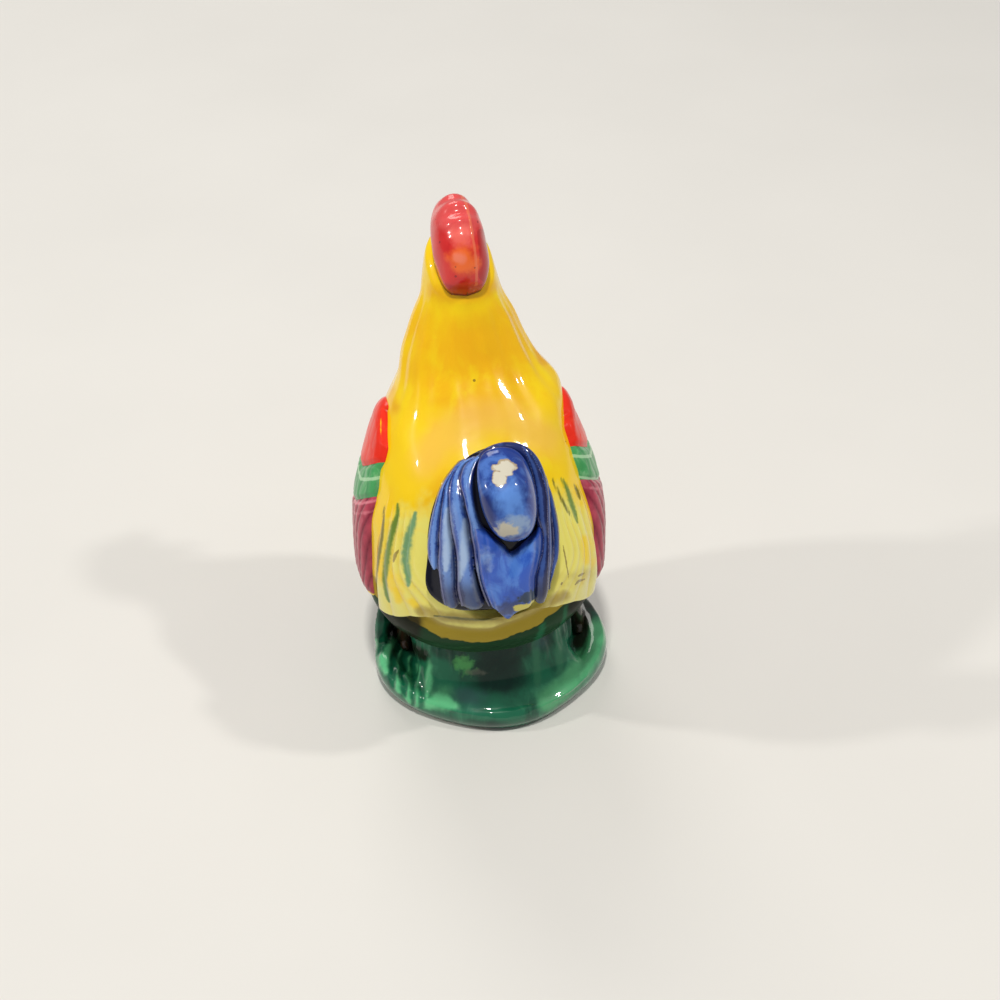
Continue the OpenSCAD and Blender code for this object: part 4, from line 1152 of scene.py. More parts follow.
def makeLegs():
    low, high = tuft["width"] * 0.53, tuft["width"] * 0.475
    y = -tuft["depth"] * 0.03
    routes, widths = [], []
    r = leg["thick"] / 2
    for side in (1, -1):
        foot = np.array([side * low - mound["shift"], y, mound["floor"] + 0.9])
        top = np.array([side * high - mound["shift"] / 2, y, figure["bellyZ"] + 1.2])
        knee = (foot + top) / 2 + np.array([side * 0.25, 0.3, 0])
        routes.append(smoothPath([foot, knee, top], 16))
        widths.append(np.linspace(r * 0.95, r * 1.1, 16))
        for turn in (*leg["toes"], leg["spur"]):
            d = np.array([math.sin(math.radians(turn)), -math.cos(math.radians(turn)), 0])
            length = leg["toe"] * (0.6 if turn == leg["spur"] else 1.0)
            joint, tip = foot + d * length * 0.55 + [0, 0, 0.15], foot + d * length - [0, 0, 0.35]
            routes.append(smoothPath([foot, joint, tip], 10))
            widths.append(np.linspace(r * 0.8, r * 0.45, 10))
    return melt("legs", [rolls("legRolls", routes, widths)], leg["voxel"], leg["soften"])


# tail: core, feathers on both sides, plume and knob

def makeCore():
    k = {"rings": 16, "faceRings": 26, "sides": 180, "rise": 1.2}
    c, s = np.cos(roundOf(k["sides"])), np.sin(roundOf(k["sides"]))
    q0 = coreLength / 2 * np.where(s > 0, np.abs(s), -0.93 * np.abs(s) ** 0.8)
    half = np.where(c > 0, coreWidth / 2 - tail["shift"], coreWidth / 2 + tail["shift"])
    power = np.where(s > 0, 1.0, np.where(c < 0, 0.42, 0.75))
    a0 = tail["shift"] + half * np.sign(c) * np.abs(c) ** power * mix(1, 0.94, np.abs(s))
    a0 = a0 - 2.5 * (c < 0) * bump(s, -0.66, 0.42)
    roots = np.array([[0, 0.66, 0.56, -0.14], [0.3, 0.82, 0.74, -0.09], [0.62, 0.94, 0.89, -0.035],
                      [0.88, 0.995, 0.98, -0.006], [1, 1, 1, 0]])
    edge = tailEdge(q0)
    rings = []
    for x in np.linspace(0, 1, k["rings"])[:-1]:
        r = rowAt(roots, np.array(x))
        a, q = tail["shift"] + (a0 - tail["shift"]) * r[1], q0 * r[2] + coreLength * r[3]
        rings.append(tailPoint(a, q, mix(-1.5, 0.0, x) + edge * x ** k["rise"]))
    for share in np.linspace(1, 0.02, k["faceRings"]) ** 0.8:
        a, q = tail["shift"] + (a0 - tail["shift"]) * share, q0 * share
        rings.append(tailPoint(a, q, tailFace(a, q) - 0.1))
    return facesOut(shellPiece("tailCore", np.array(rings)))


# the edges between the tail's feathers: places up the seat and across it, from the top down

tailLines = {
    "outer": [(13.6, -2.2), (13.2, -3.7), (11.2, -6.0), (8.8, -7.8), (5.8, -9.1), (2.4, -10.1), (-1.5, -10.8),
              (-5.0, -10.7), (-14, -9.5)],
    "first": [(13.6, -1.9), (12.1, -4.9), (10.1, -6.6), (8.8, -7.3), (6.2, -7.9), (4.2, -8.3), (0.9, -8.8),
              (-1.7, -9.0), (-4.4, -9.3), (-9, -9.1), (-14, -8.4)],
    "second": [(13.7, -1.5), (12.6, -4.2), (11.6, -5.3), (9.4, -6.3), (7.0, -6.8), (4.3, -6.9), (2.0, -6.8),
               (0, -6.5), (-3.4, -6.2), (-6.1, -6.3), (-8.8, -6.4), (-14, -5.6)],
    "third": [(13.9, -1.0), (12.4, -3.5), (10.8, -4.5), (9.3, -4.8), (7.1, -4.4), (5.2, -4.2), (3.1, -3.8),
              (1.1, -3.7), (-1.6, -3.4), (-4.8, -3.2), (-7.5, -2.8), (-9.8, -2.2), (-14, -0.8)],
    "knobSide": [(14.2, -0.2), (12.4, -1.6), (10.5, -2.4), (8.0, -2.7), (5.1, -2.5), (2.6, -1.8), (0.2, -0.5),
                 (-14, 0.0)],
    "rollIn": [(14, 6.0), (11.4, 6.9), (8.2, 7.4), (5.1, 7.5), (2.5, 7.6), (-0.5, 8.3), (-2.9, 8.1),
               (-5.5, 7.3), (-8.0, 6.6), (-14, 6.4)],
    "rollOut": [(14, 6.8), (12.4, 7.6), (10.6, 8.4), (8.0, 9.1), (6.0, 9.3), (2.9, 9.2), (-0.6, 9.2),
                (-4.2, 9.0), (-7.8, 8.7), (-14, 8.4)],
    "midRight": [(14, 7.0), (10.2, 8.9), (8.0, 9.6), (3, 10.1), (-1, 10.4), (-5, 10.2), (-9, 9.3),
                 (-14, 8.7)],
    "edgeRight": [(14, 7.2), (9.9, 9.1), (8.7, 9.6), (6, 10.5), (3, 11.1), (0, 11.5), (-3, 11.5),
                  (-5.7, 11.2), (-8.2, 10.3), (-9.7, 9.6), (-14, 8.9)],
}


def lineAt(name, q):
    return rowAt([(-up, across) for up, across in tailLines[name]], -q)[..., 1]


feather = {"rows": 150, "columns": 36, "voxel": 0.17, "softenLeft": 2, "softenRight": 3, "rollPoints": 60}


def makeFeather(name, left, right, low, high, tall, crest, bow):
    # one feather between two edges: a sharp left edge, a full face and a deep fall at its right
    tt, ww = gridOf(np.linspace(0, 1, feather["rows"]), np.linspace(-0.03, 1.05, feather["columns"]))
    inside = np.clip(ww, 0, 1)
    q = mix(low + bow * np.abs(2 * inside - 0.9) ** 2.2, high, tt)
    a = mix(lineAt(left, q), lineAt(right, q), ww)
    face = tailFace(a, q)
    rows = np.array([[-0.1, -0.2], [0.0, 0.58], [0.07, 0.62], [0.2, 0.78], [crest, 1.0], [0.72, 0.8],
                     [0.86, 0.45], [0.97, -0.1], [1.1, -0.4]])
    profile = rowAt(rows, ww)[..., 1]
    taper = mix(0.35, 1, ease((1 - tt) / 0.35)) * mix(0.5, 1, np.sqrt(np.clip(tt / 0.05, 0, 1)))
    h = face + 0.1 + tall * profile * taper
    h = mix(face - 0.5, h, np.sqrt(np.clip(tt / 0.022, 0, 1)))
    outer, inner = tailPoint(a, q, h), tailPoint(a, q, face - tail["buried"])
    return facesOut(padPiece(name, outer[:, ::-1], inner[:, ::-1]))


def acrossFeather(q, a, lines):
    # how far across its feather a place lies, between two of the lines
    across = np.full(q.shape, 2.0)
    for left, right in zip(lines, lines[1:]):
        x0, x1 = lineAt(left, q), lineAt(right, q)
        w = (a - x0) / np.maximum(0.2, x1 - x0)
        across = np.where((w >= 0) & (w < 1), w, across)
    return across


def markFeathers(piece, lines, ends):
    a, q, h = tailPlace(pointsOf(piece))
    across = acrossFeather(q, a, lines)
    away = h - tailFace(a, q)
    mark(piece, "valley", most(
        ease((across - 0.8) / 0.12) * (across < 1.5), 1 - ease((away - 0.05) / 0.5),
        0.7 * ease((across - 0.5) / 0.4) * (across < 1.5), 0.5 * (1 - ease(across / 0.2))))
    mark(piece, "crest", bump(across, 0.42, 0.24) * ease((away - 0.3) / 0.5))
    mark(piece, "edge", most(bump(across, 0.03, 0.05), bump(across, 1.0, 0.02)) * ease((away - 0.1) / 0.3))
    mark(piece, "pool", ease((ends + 3 - q) / 4.5) * 0.85)
    mark(piece, "soot", ease((-12.5 - q) / 2) * 0.6)
    return piece


def makeLeftTail():
    parts = [makeFeather("a", "outer", "first", -5.9, 12.6, 1.5, 0.45, 2.2),
             makeFeather("b", "first", "second", -13.0, 13.0, 1.75, 0.45, 1.2),
             makeFeather("c", "second", "third", -13.4, 13.3, 1.95, 0.5, 1.5),
             makeFeather("d", "third", "knobSide", -3.0, 13.6, 1.6, 0.4, 1.0)]
    # slim rolls stand along the feathers' edges
    routes, widths = [], []
    for line, low, high, lift in (("first", -12, 12.4, 0.75), ("second", -12.2, 12.8, 0.9),
                                  ("third", -12.4, 13.2, 1.05)):
        q = np.linspace(high, low, feather["rollPoints"])
        a = lineAt(line, q) + 0.12
        routes.append(tailPoint(a, q, tailFace(a, q) + 0.1 + lift * ease((high - q) / 8)))
        widths.append(0.26 + 0.08 * np.sin(q * 1.1))
    parts.append(rolls("edgeRolls", routes, widths))
    piece = melt("tailFeathersLeft", parts, feather["voxel"], feather["softenLeft"])
    return markFeathers(piece, ["outer", "first", "second", "third", "knobSide"], -8.5)


def makeRightTail():
    parts = [makeFeather("a", "rollOut", "midRight", -11.6, 11.0, 1.1, 0.5, 0.8),
             makeFeather("b", "midRight", "edgeRight", -11.0, 9.6, 1.0, 0.5, 0.8)]
    # the thick roll goes over the knob and down the right side
    roll = smoothPath([
        (13.2, -1.4, 0.5, 0.0), (14.2, 0.4, 0.7, 0.2), (14.6, 3.0, 0.8, 0.3), (13.9, 5.6, 0.95, 0.5),
        (12.0, 7.3, 1.15, 0.8), (9.0, 8.2, 1.35, 1.0), (5.5, 8.5, 1.4, 1.1), (2.0, 8.55, 1.25, 1.0),
        (-1.0, 8.75, 1.1, 0.8), (-4.0, 8.4, 1.25, 0.8), (-7.5, 7.8, 1.4, 0.8), (-10.5, 7.6, 1.3, 0.7),
        (-12.6, 7.5, 0.9, 0.4)], feather["rollPoints"])
    q, a = roll[:, 0], roll[:, 1]
    routes, widths = [tailPoint(a, q, tailFace(a, q) + roll[:, 3])], [roll[:, 2]]
    for line, low, high in (("midRight", -10.8, 9.4), ("rollOut", -11, 9.0)):
        q = np.linspace(high, low, feather["rollPoints"])
        a = lineAt(line, q)
        routes.append(tailPoint(a, q, tailFace(a, q) + 0.5))
        widths.append(0.3 + 0.06 * np.sin(q))
    parts.append(rolls("rightRolls", routes, widths))
    piece = melt("tailFeathersRight", parts, feather["voxel"], feather["softenRight"])
    return markFeathers(piece, ["rollIn", "rollOut", "midRight", "edgeRight"], -9.5)


# the fold under the knob and the hem, both as places up the seat across the plume
plume = {
    "rows": 130, "columns": 120, "rise": 1.75,
    "fold": [(0, 3.4), (0.2, 1.8), (0.38, -0.7), (0.5, -2.5), (0.56, -2.4), (0.72, -1.0), (0.88, 0.3),
             (1, 1.8)],
    "hem": [(0, -12.7), (0.1, -13.7), (0.19, -15.0), (0.26, -15.6), (0.34, -15.7), (0.42, -15.3),
            (0.52, -14.6), (0.65, -14.1), (0.8, -13.7), (0.9, -13.0), (1, -12.3)],
}


def makePlume():
    k = plume
    tt, ww = gridOf(np.linspace(0, 1, k["rows"]), np.linspace(0, 1, k["columns"]))
    top, low = rowAt(k["fold"], ww)[..., 1], rowAt(k["hem"], ww)[..., 1]
    q = mix(low, top, tt)
    a = mix(lineAt("third", q) + 0.1, lineAt("rollIn", q) + 0.3, ww)
    face = tailFace(a, q)
    side = np.clip(np.minimum(ww, 1 - ww) / 0.09, 0, 1)
    ends = np.clip(np.minimum(tt / 0.06, (1 - tt) / 0.07), 0, 1)
    edge = np.sqrt(side * (2 - side)) * np.sqrt(ends * (2 - ends))
    lobes = (0.5 * bump(ww, 0.22, 0.14) + 0.45 * bump(ww, 0.8, 0.13)
             - 0.3 * bump(ww, 0.5, 0.12) * ease((tt - 0.5) / 0.4))
    belly = 0.5 * bump(2 * ww - 1, 0, 0.7) * (1 - tt)
    crease = -0.28 * bump(ww, 0.9 - 0.05 * tt, 0.03) - 0.16 * bump(ww, 0.1 + 0.08 * tt, 0.025)
    off = mix(-0.35, k["rise"] + lobes + belly + crease, edge)
    outer = tailPoint(a, q, face + off)
    outer = outer + lumpsOf(outer, 0.14, 3.2, 71)[..., None] * seatOut
    inner = tailPoint(a, q, face - tail["buried"])
    # dark edges of the plume, pooled glaze; along the fold under the knob this is painted shadow
    rim = most(1 - ease(side * 1.2), 1 - ease(ends * 0.9), 0.5 * bump(ww, 0.9, 0.05),
               0.7 * ease((ww - 0.86) / 0.08))[:, ::-1].ravel()
    edgeLine = (bump(ww, 0.05, 0.02) * 0.8)[:, ::-1].ravel()
    return facesOut(padPiece("tailPlume", outer[:, ::-1], inner[:, ::-1],
                             pool=np.concatenate([rim, np.ones(rim.size)]),
                             edge=np.concatenate([edgeLine, np.zeros(rim.size)])))


knob = {"q": 7.45, "a": 2.6, "width": 9.2, "length": 14.7, "thick": 3.9, "lean": 0.1,
        "rings": 60, "sides": 140}


def makeKnob():
    k = knob
    rows = [[0, 0.72, -0.4], [0.14, 0.88, -0.05], [0.26, 0.99, 0.12], [0.4, 1.03, 0.36], [0.54, 0.96, 0.62],
            [0.7, 0.79, 0.83], [0.86, 0.48, 0.96], [1, 0.03, 1.0]]
    tt, ww = gridOf(np.linspace(0, 1, k["rings"]), roundOf(k["sides"]))
    r = rowAt(rows, tt)
    c, s = np.cos(ww), np.sin(ww)
    # fuller at the top than at the bottom, and leaning a little
    power = mix(1.0, 0.74, ease(s + 0.3))
    q = k["q"] + k["length"] / 2 * r[..., 1] * np.sign(s) * np.abs(s) ** power
    a = k["a"] + k["width"] / 2 * r[..., 1] * np.sign(c) * np.abs(c) ** 0.82 - (q - k["q"]) * k["lean"]
    slope = mix(1.0, 0.66, ease((q - k["q"]) / (k["length"] / 2)))
    h = tailFace(np.clip(a, -2.5, 7.5), q) + 1.5 + k["thick"] * slope * r[..., 2]
    p = tailPoint(a, q, h)
    p = p + lumpsOf(p, 0.2, 4.5, 81)[..., None] * seatOut
    # the knob's foot is darkened: pooled glaze and painted shade under the knob
    pool = np.append((0.9 * (1 - ease((tt - 0.12) / 0.2))).ravel(), [1, 0])
    return facesOut(shellPiece("tailKnob", p, pool=pool))


# glazes

def bodyGlaze(name):
    paint = glazePaint(name, (253, 211, 0), skin=0.2, wave=230)
    paint.flow((244, 176, 0), 0.6, Scale=110.0, Stretch=0.3, Low=0.48, High=0.74)
    paint.marked("orange", (242, 162, 0), 0.5, 0.8, 260, 0.4)
    paint.flow((254, 224, 8), 0.6, Scale=190.0, Stretch=0.3, Low=0.5, High=0.75, Shift=0.03)
    paint.marked("amber", (222, 132, 0), 0.55, 0.6, 400, 0.45)
    paint.marked("cream", (238, 230, 116), 0.95, 0.9, 420, 0.35)
    # painted sheen: a pale orange halo on the back round the tail's top
    paint.marked("paintedSheenHalo", (246, 190, 90), 0.55, 0.4, 300, 0.48)
    paint.marked("sun", (250, 216, 16), 0.9, 0.7, 500, 0.4)
    paint.marked("deep", (214, 170, 40), 0.35)
    # ochre underside, darkened as painted shade under the saddle's lip and under the tail
    paint.marked("ochreAndPaintedShade", (164, 138, 40), 0.9, 0.6, 500, 0.4)
    paint.marked("grass", (14, 62, 42), 0.97, 0.5, 420, 0.3)
    paint.marked("grassLight", (40, 112, 76), 0.8, 0.8, 500, 0.4)
    # painted shade on the belly's left and right
    paint.marked("bellyPaintedShade", (36, 34, 26), 0.9, 0.5, 500, 0.35)
    paint.marked("olive", (84, 90, 22), 0.85, 0.5, 2400, 0.4)
    paint.marked("green", (84, 128, 44), 0.92, 0.6, 2000, 0.42)
    paint.marked("teal", (92, 152, 112), 0.9, 0.8, 1500, 0.45)
    paint.marked("scuff", (112, 84, 36), 0.7, 0.9, 3000)
    paint.specks((90, 60, 20), 0.7, Scale=330.0, Size=0.1, Share=0.1)
    paint.dull("under", 0.95)
    return paint.done()


yellowGlaze = bodyGlaze("yellowGlaze")
creamGlaze = bodyGlaze("creamYellowGlaze")


def wingGlaze(name, base, dark, pale, amount):
    paint = glazePaint(name, base, coat=0.35, skin=0.2, wave=300)
    paint.flow(dark, 0.45, Scale=260.0, Stretch=0.3, Low=0.44, High=0.75)
    paint.flow(pale, 0.5, Scale=420.0, Stretch=0.16, Low=0.5, High=0.72, Shift=0.2)
    paint.marked("deep", dark, amount)
    paint.marked("pale", pale, 0.9, 0.5, 900)
    paint.marked("line", (70, 40, 24), 0.7, 0.6, 1400)
    paint.marked("yellow", (250, 208, 4), 1.0, 0.35, 1100)
    return paint.done()


scarletGlaze = wingGlaze("scarletGlaze", (238, 50, 30), (206, 30, 26), (244, 84, 50), 0.4)
lightGreenGlaze = wingGlaze("lightGreenGlaze", (80, 166, 100), (46, 128, 76), (172, 216, 170), 0.7)
pinkGlaze = wingGlaze("pinkGlaze", (196, 78, 98), (108, 26, 48), (226, 132, 146), 0.95)

combPaint = glazePaint("combGlaze", (226, 46, 44), coat=0.8, skin=0.25, wave=320, gloss=0.12)
combPaint.flow((198, 28, 34), 0.6, Scale=220.0, Stretch=0.6, Low=0.4, High=0.7)
# painted sheen: the comb's top paler pink where it reflects the sky
combPaint.marked("paintedTopSheen", (228, 84, 84), 0.85, 0.5, 500, 0.4)
combPaint.marked("crimson", (170, 16, 24), 0.7, 0.6, 600)
# painted highlights on the comb: a soft pink one high up, an orange one lower down and a small pale pink one
# beside it
combPaint.patch((252, 120, 108), (0.8, -9.5, 87.6), (1.7, 1.8, 1.7), 0.7, Ragged=0.9, Scale=700.0, Soft=0.6)
combPaint.patch((255, 118, 46), (0.6, -7.6, 83.7), (2.4, 2.2, 2.2), 0.9, Ragged=1.0, Scale=500.0, Soft=0.6)
combPaint.patch((255, 140, 112), (1.6, -7.9, 84.4), (0.9, 1.5, 0.9), 0.8, Ragged=0.9, Scale=600.0, Soft=0.6)
combPaint.marked("seam", (244, 130, 92), 0.6, 0.8, 1400)
# the comb's dark foot: glaze pooled in the crevice, with painted shade there too
combPaint.marked("foot", (104, 20, 18), 0.85, 0.7, 700)
combPaint.specks((96, 30, 34), 0.6, Scale=900.0, Size=0.2, Share=0.1)
redGlaze = combPaint.done()

blackPaint = glazePaint("eyeGlaze", (14, 12, 14), skin=0.1)
blackPaint.marked("reach", (60, 30, 14), 0.7)
blackGlaze = blackPaint.done()

beakPaint = glazePaint("beakGlaze", (240, 150, 30), skin=0.2)
beakPaint.flow((216, 112, 20), 0.7, Scale=400.0, Stretch=1.0, Low=0.4, High=0.7)
orangeGlaze = beakPaint.done()

legPaint = glazePaint("legGlaze", (60, 40, 26), skin=0.2)
legPaint.flow((24, 26, 18), 0.9, Scale=420.0, Stretch=0.4, Low=0.4, High=0.66)
legPaint.flow((16, 60, 40), 0.7, Scale=260.0, Stretch=0.3, Low=0.5, High=0.7, Shift=0.1)
brownGlaze = legPaint.done()


def grassGlaze():
    paint = glazePaint("grassGlaze", (26, 108, 78), skin=0.3, wave=200)
    paint.flow((8, 60, 46), 0.85, Scale=120.0, Stretch=0.4, Low=0.46, High=0.68)
    paint.flow((66, 152, 112), 0.7, Scale=210.0, Stretch=0.4, Low=0.52, High=0.72, Shift=0.05)
    # painted light: the lit top of the right rim, and a lighter spot at the left rear
    paint.marked("paintedLight", (84, 172, 118), 1.0, 0.8, 420, 0.45)
    # dark green, partly painted shade on the trunk under the belly
    paint.marked("dark", (6, 38, 33), 0.92, 0.7, 300, 0.4)
    paint.flow((6, 38, 32), 0.55, Scale=90.0, Stretch=0.6, Low=0.54, High=0.74, Shift=0.2)
    paint.marked("streak", (48, 116, 84), 0.8, 0.8, 600, 0.4)
    # a blue-grey painted reflection on the trunk
    paint.marked("teal", (64, 92, 104), 0.5, 0.8, 300, 0.45)
    # leaf crests painted light green, lightened further as painted light where the belly shades them
    paint.marked("leaf", (104, 206, 144), 0.88, 1.1, 500, 0.42)
    paint.marked("groove", (18, 112, 76), 0.6, 0.5, 500, 0.5)
    paint.marked("legShade", (30, 24, 18), 0.92, 0.6, 500, 0.35)
    paint.patch((86, 172, 92), (4.7, 14.0, 11.9), (1.7, 3.2, 1.7), 0.75, Ragged=1.1, Soft=0.5)
    paint.patch((96, 100, 88), (2.9, 14.2, 10.7), (1.8, 3.0, 0.7), 0.6, Ragged=1.0, Soft=0.4)
    paint.marked("bare", (188, 176, 150), 0.9, 0.2, 900)
    paint.dull("shade", 0.6)
    return paint.done()


grassPaint = grassGlaze()


def blueGlaze(name, base, crest, valley, lightness):
    paint = glazePaint(name, base, skin=0.22, wave=320)
    paint.flow(crest, lightness, Scale=330.0, Stretch=0.6, Low=0.44, High=0.66)
    paint.flow(valley, 0.5, Scale=260.0, Stretch=0.5, Low=0.5, High=0.75, Shift=0.3)
    paint.marked("crest", crest, 0.6, 1.1, 2600)
    paint.marked("streak", (172, 198, 232), 0.85, 0.9, 900, 0.48)
    paint.marked("valley", valley, 0.95)
    # pooled glaze at edges and feather ends, and painted shadow round the knob's foot
    paint.marked("pool", valley, 0.9)
    paint.marked("edge", (150, 150, 190), 0.4, 0.9, 1500)
    paint.marked("soot", (10, 12, 26), 0.92, 0.4, 600)
    return paint


navy, periwinkle = (14, 18, 60), (120, 164, 234)
featherGlaze = blueGlaze("featherBlueGlaze", (46, 82, 172), periwinkle, navy, 0.55).done()
darkFeatherGlaze = blueGlaze("darkFeatherGlaze", (28, 44, 104), (66, 100, 176), navy, 0.45).done()
coreGlaze = blueGlaze("navyGlaze", navy, (26, 34, 92), (8, 8, 26), 0.5).dull("soot", 0.45).done()
plumePaint = blueGlaze("plumeBlueGlaze", (42, 92, 200), (98, 158, 246), (18, 30, 98), 0.6)
plumePaint.patch((28, 42, 84), (-2.6, 27.9, 37.4), (3.0, 2, 2.0), 0.75, Ragged=1.0, Soft=0.5)
plumePaint.patch((26, 50, 60), (-5.6, 27.2, 39.4), (2.3, 2, 1.3), 0.85, Ragged=1.0)
plumePaint.patch((226, 214, 96), (-4.9, 27.3, 37.0), (2.2, 2, 1.3), Ragged=0.6)
plumeGlaze = plumePaint.done()
knobPaint = blueGlaze("knobBlueGlaze", (28, 60, 146), (92, 140, 222), (18, 30, 96), 0.6)
chip, biscuit = (214, 208, 190), (176, 156, 124)
# painted sheen on the knob's middle
knobPaint.patch((104, 156, 236), (-2.4, 25.8, 59.2), (2.6, 3.0, 3.0), 0.8, Ragged=0.9, Scale=420.0, Soft=0.5)
# painted shade down the knob's left side
knobPaint.patch((20, 38, 104), (1.5, 26.0, 57.4), (1.3, 3.0, 4.4), 0.8, Ragged=0.8, Scale=420.0, Soft=0.4)
for shade, grow in ((biscuit, 1.1), (chip, 0.94)):
    for place, size, amount, ragged, scale, soft in (
            ((-2.3, 21.9, 63.1), (3.1 * grow, 1.8 * grow, 1.7), 1.0, 0.65, 480.0, 0.07),
            ((-1.1, 23.5, 62.0), (1.6 * grow, 1.5 * grow, 1.5), 1.0, 0.65, 600.0, 0.07),
            ((-6.2, 22.8, 60.5), (0.6 * grow, 1.3, 0.7 * grow), 0.85, 1.0, 700.0, 0.1)):
        knobPaint.patch(shade, place, size, amount, Ragged=ragged, Scale=scale, Soft=soft)
knobPaint.patch((152, 176, 204), (-2.9, 28.0, 54.6), (2.6, 2.4, 1.8), 0.75, Ragged=1.1, Scale=500.0, Soft=0.4)
knobPaint.patch((202, 194, 170), (-1.6, 28.0, 54.3), (1.9, 2.0, 1.2), 0.9, Ragged=1.3, Scale=700.0, Soft=0.3)
knobGlaze = knobPaint.done()
print("glazes mixed")


# pieces

sides = ((1, "left"), (-1, "right"))

# the painted edge of the body's underside: turns round the body, and its height there
underEdge = [(0, 24), (48, 27.6), (53, 27.2), (60, 26.4), (66, 24.9), (77, 24.8), (88, 24.6), (94, 25.8),
             (101, 26.5), (108, 27.1), (116, 28.2), (127, 29.1), (180, 24), (270, 20), (360, 24)]
brushSpread = 1.3
brush = {
    "olive": [([(17.4, 8.9, 46.8), (17.7, 10.4, 44.5), (18.2, 11.9, 42.0), (19.0, 12.4, 38.0),
                (19.7, 12.5, 34.0), (20.0, 12.2, 30.3), (19.6, 12.6, 29.1)], 0.5),
              # this olive stroke is a painted shadow line under the tail's end
              ([(10.4, 22.4, 32.2), (7.5, 24.2, 32.8), (4.0, 25.3, 33.0), (-1.0, 25.6, 32.7)], 0.5),
              ([(-11.5, 11.6, 51.6), (-12.7, 13.1, 48.9), (-13.9, 14.6, 46.4), (-14.6, 15.0, 45.3)], 0.4),
              ([(-15.8, 9.8, 48.4), (-16.3, 10.6, 47.2), (-16.7, 11.3, 45.9)], 0.5)],
    "green": [([(15.1, 11.1, 48.3), (15.3, 12.4, 47.0), (16.2, 13.3, 44.9), (17.1, 13.9, 41.7),
                (17.6, 14.2, 39.3), (18.0, 14.6, 36.7), (18.3, 14.7, 34.7), (18.1, 15.1, 31.4),
                (17.8, 15.7, 30.3)], 0.85),
              ([(15.3, 12.4, 47.0), (16.2, 13.3, 44.9), (17.1, 13.9, 41.7)], 0.9),
              ([(-13.4, 10.6, 50.5), (-14.2, 11.5, 49.0), (-14.7, 12.6, 47.2), (-15.3, 13.8, 45.2),
                (-15.7, 14.5, 43.5)], 0.65)],
    "teal": [([(12.3, 14.3, 48.6), (13.0, 15.2, 46.7), (13.8, 15.7, 44.6), (14.3, 16.6, 42.5),
               (14.6, 17.4, 40.4), (14.3, 18.8, 38.8), (14.4, 19.2, 36.8)], 1.15)],
    "scuff": [([(15.6, 15.7, 41.9), (16.2, 15.5, 40.7), (16.6, 15.8, 39.4)], 0.45),
              ([(-15.2, 18.6, 34.9), (-16.6, 16.9, 34.0)], 0.35),
              ([(-14.6, 19.1, 33.4), (-15.3, 18.4, 33.6), (-16.7, 17.3, 32.9)], 0.35),
              ([(-12.5, 18.4, 42.1), (-12.9, 19.3, 39.4), (-13.4, 20.1, 35.5)], 0.2)],
    "neckAmber": [([(-9, -8, 75), (-11.6, -9.4, 67), (-13, -9, 62)], 1.6)],
    "shoulderAmber": [([(14.6, -7, 60), (14, -3, 58.5)], 2.2)],
    "sun": [([(16.4, 17.3, 34.2), (16.2, 17.8, 32.4)], 1.4), ([(13.9, 19.9, 33.5), (13.4, 20.2, 33.0)], 1.4),
            ([(19.6, 9.4, 42), (20.4, 10, 36), (20.6, 10, 30)], 1.6),
            ([(-16.9, 15.4, 40.2), (-17.2, 16.0, 36)], 1.6)],
    # the lip strokes: a painted shadow line under the tail's end
    "lip": [([(12.6, 20.6, 32.0), (11.0, 22.1, 32.6), (8.6, 23.6, 32.6), (4.5, 25.4, 33.2),
              (-0.6, 25.6, 32.8), (-5, 25.2, 33.2), (-8.3, 24.6, 34.2), (-12.4, 21.4, 33.2)], 2.0)],
    "rearShade": [([(-12.5, 21.0, 36.5), (-15.5, 18.6, 34.5), (-17.0, 16.5, 33.2)], 3.5)],
    # painted shade on the belly at both sides, under the saddle
    "bellyPaintedShade": [([(18.4, 8.6, 20.3), (15.2, 12.5, 19.8), (14.7, 16.7, 26.0)], 4.6),
              ([(-18.8, 8.6, 20.3), (-17, 12, 22), (-16.5, 14, 24)], 4)],
}


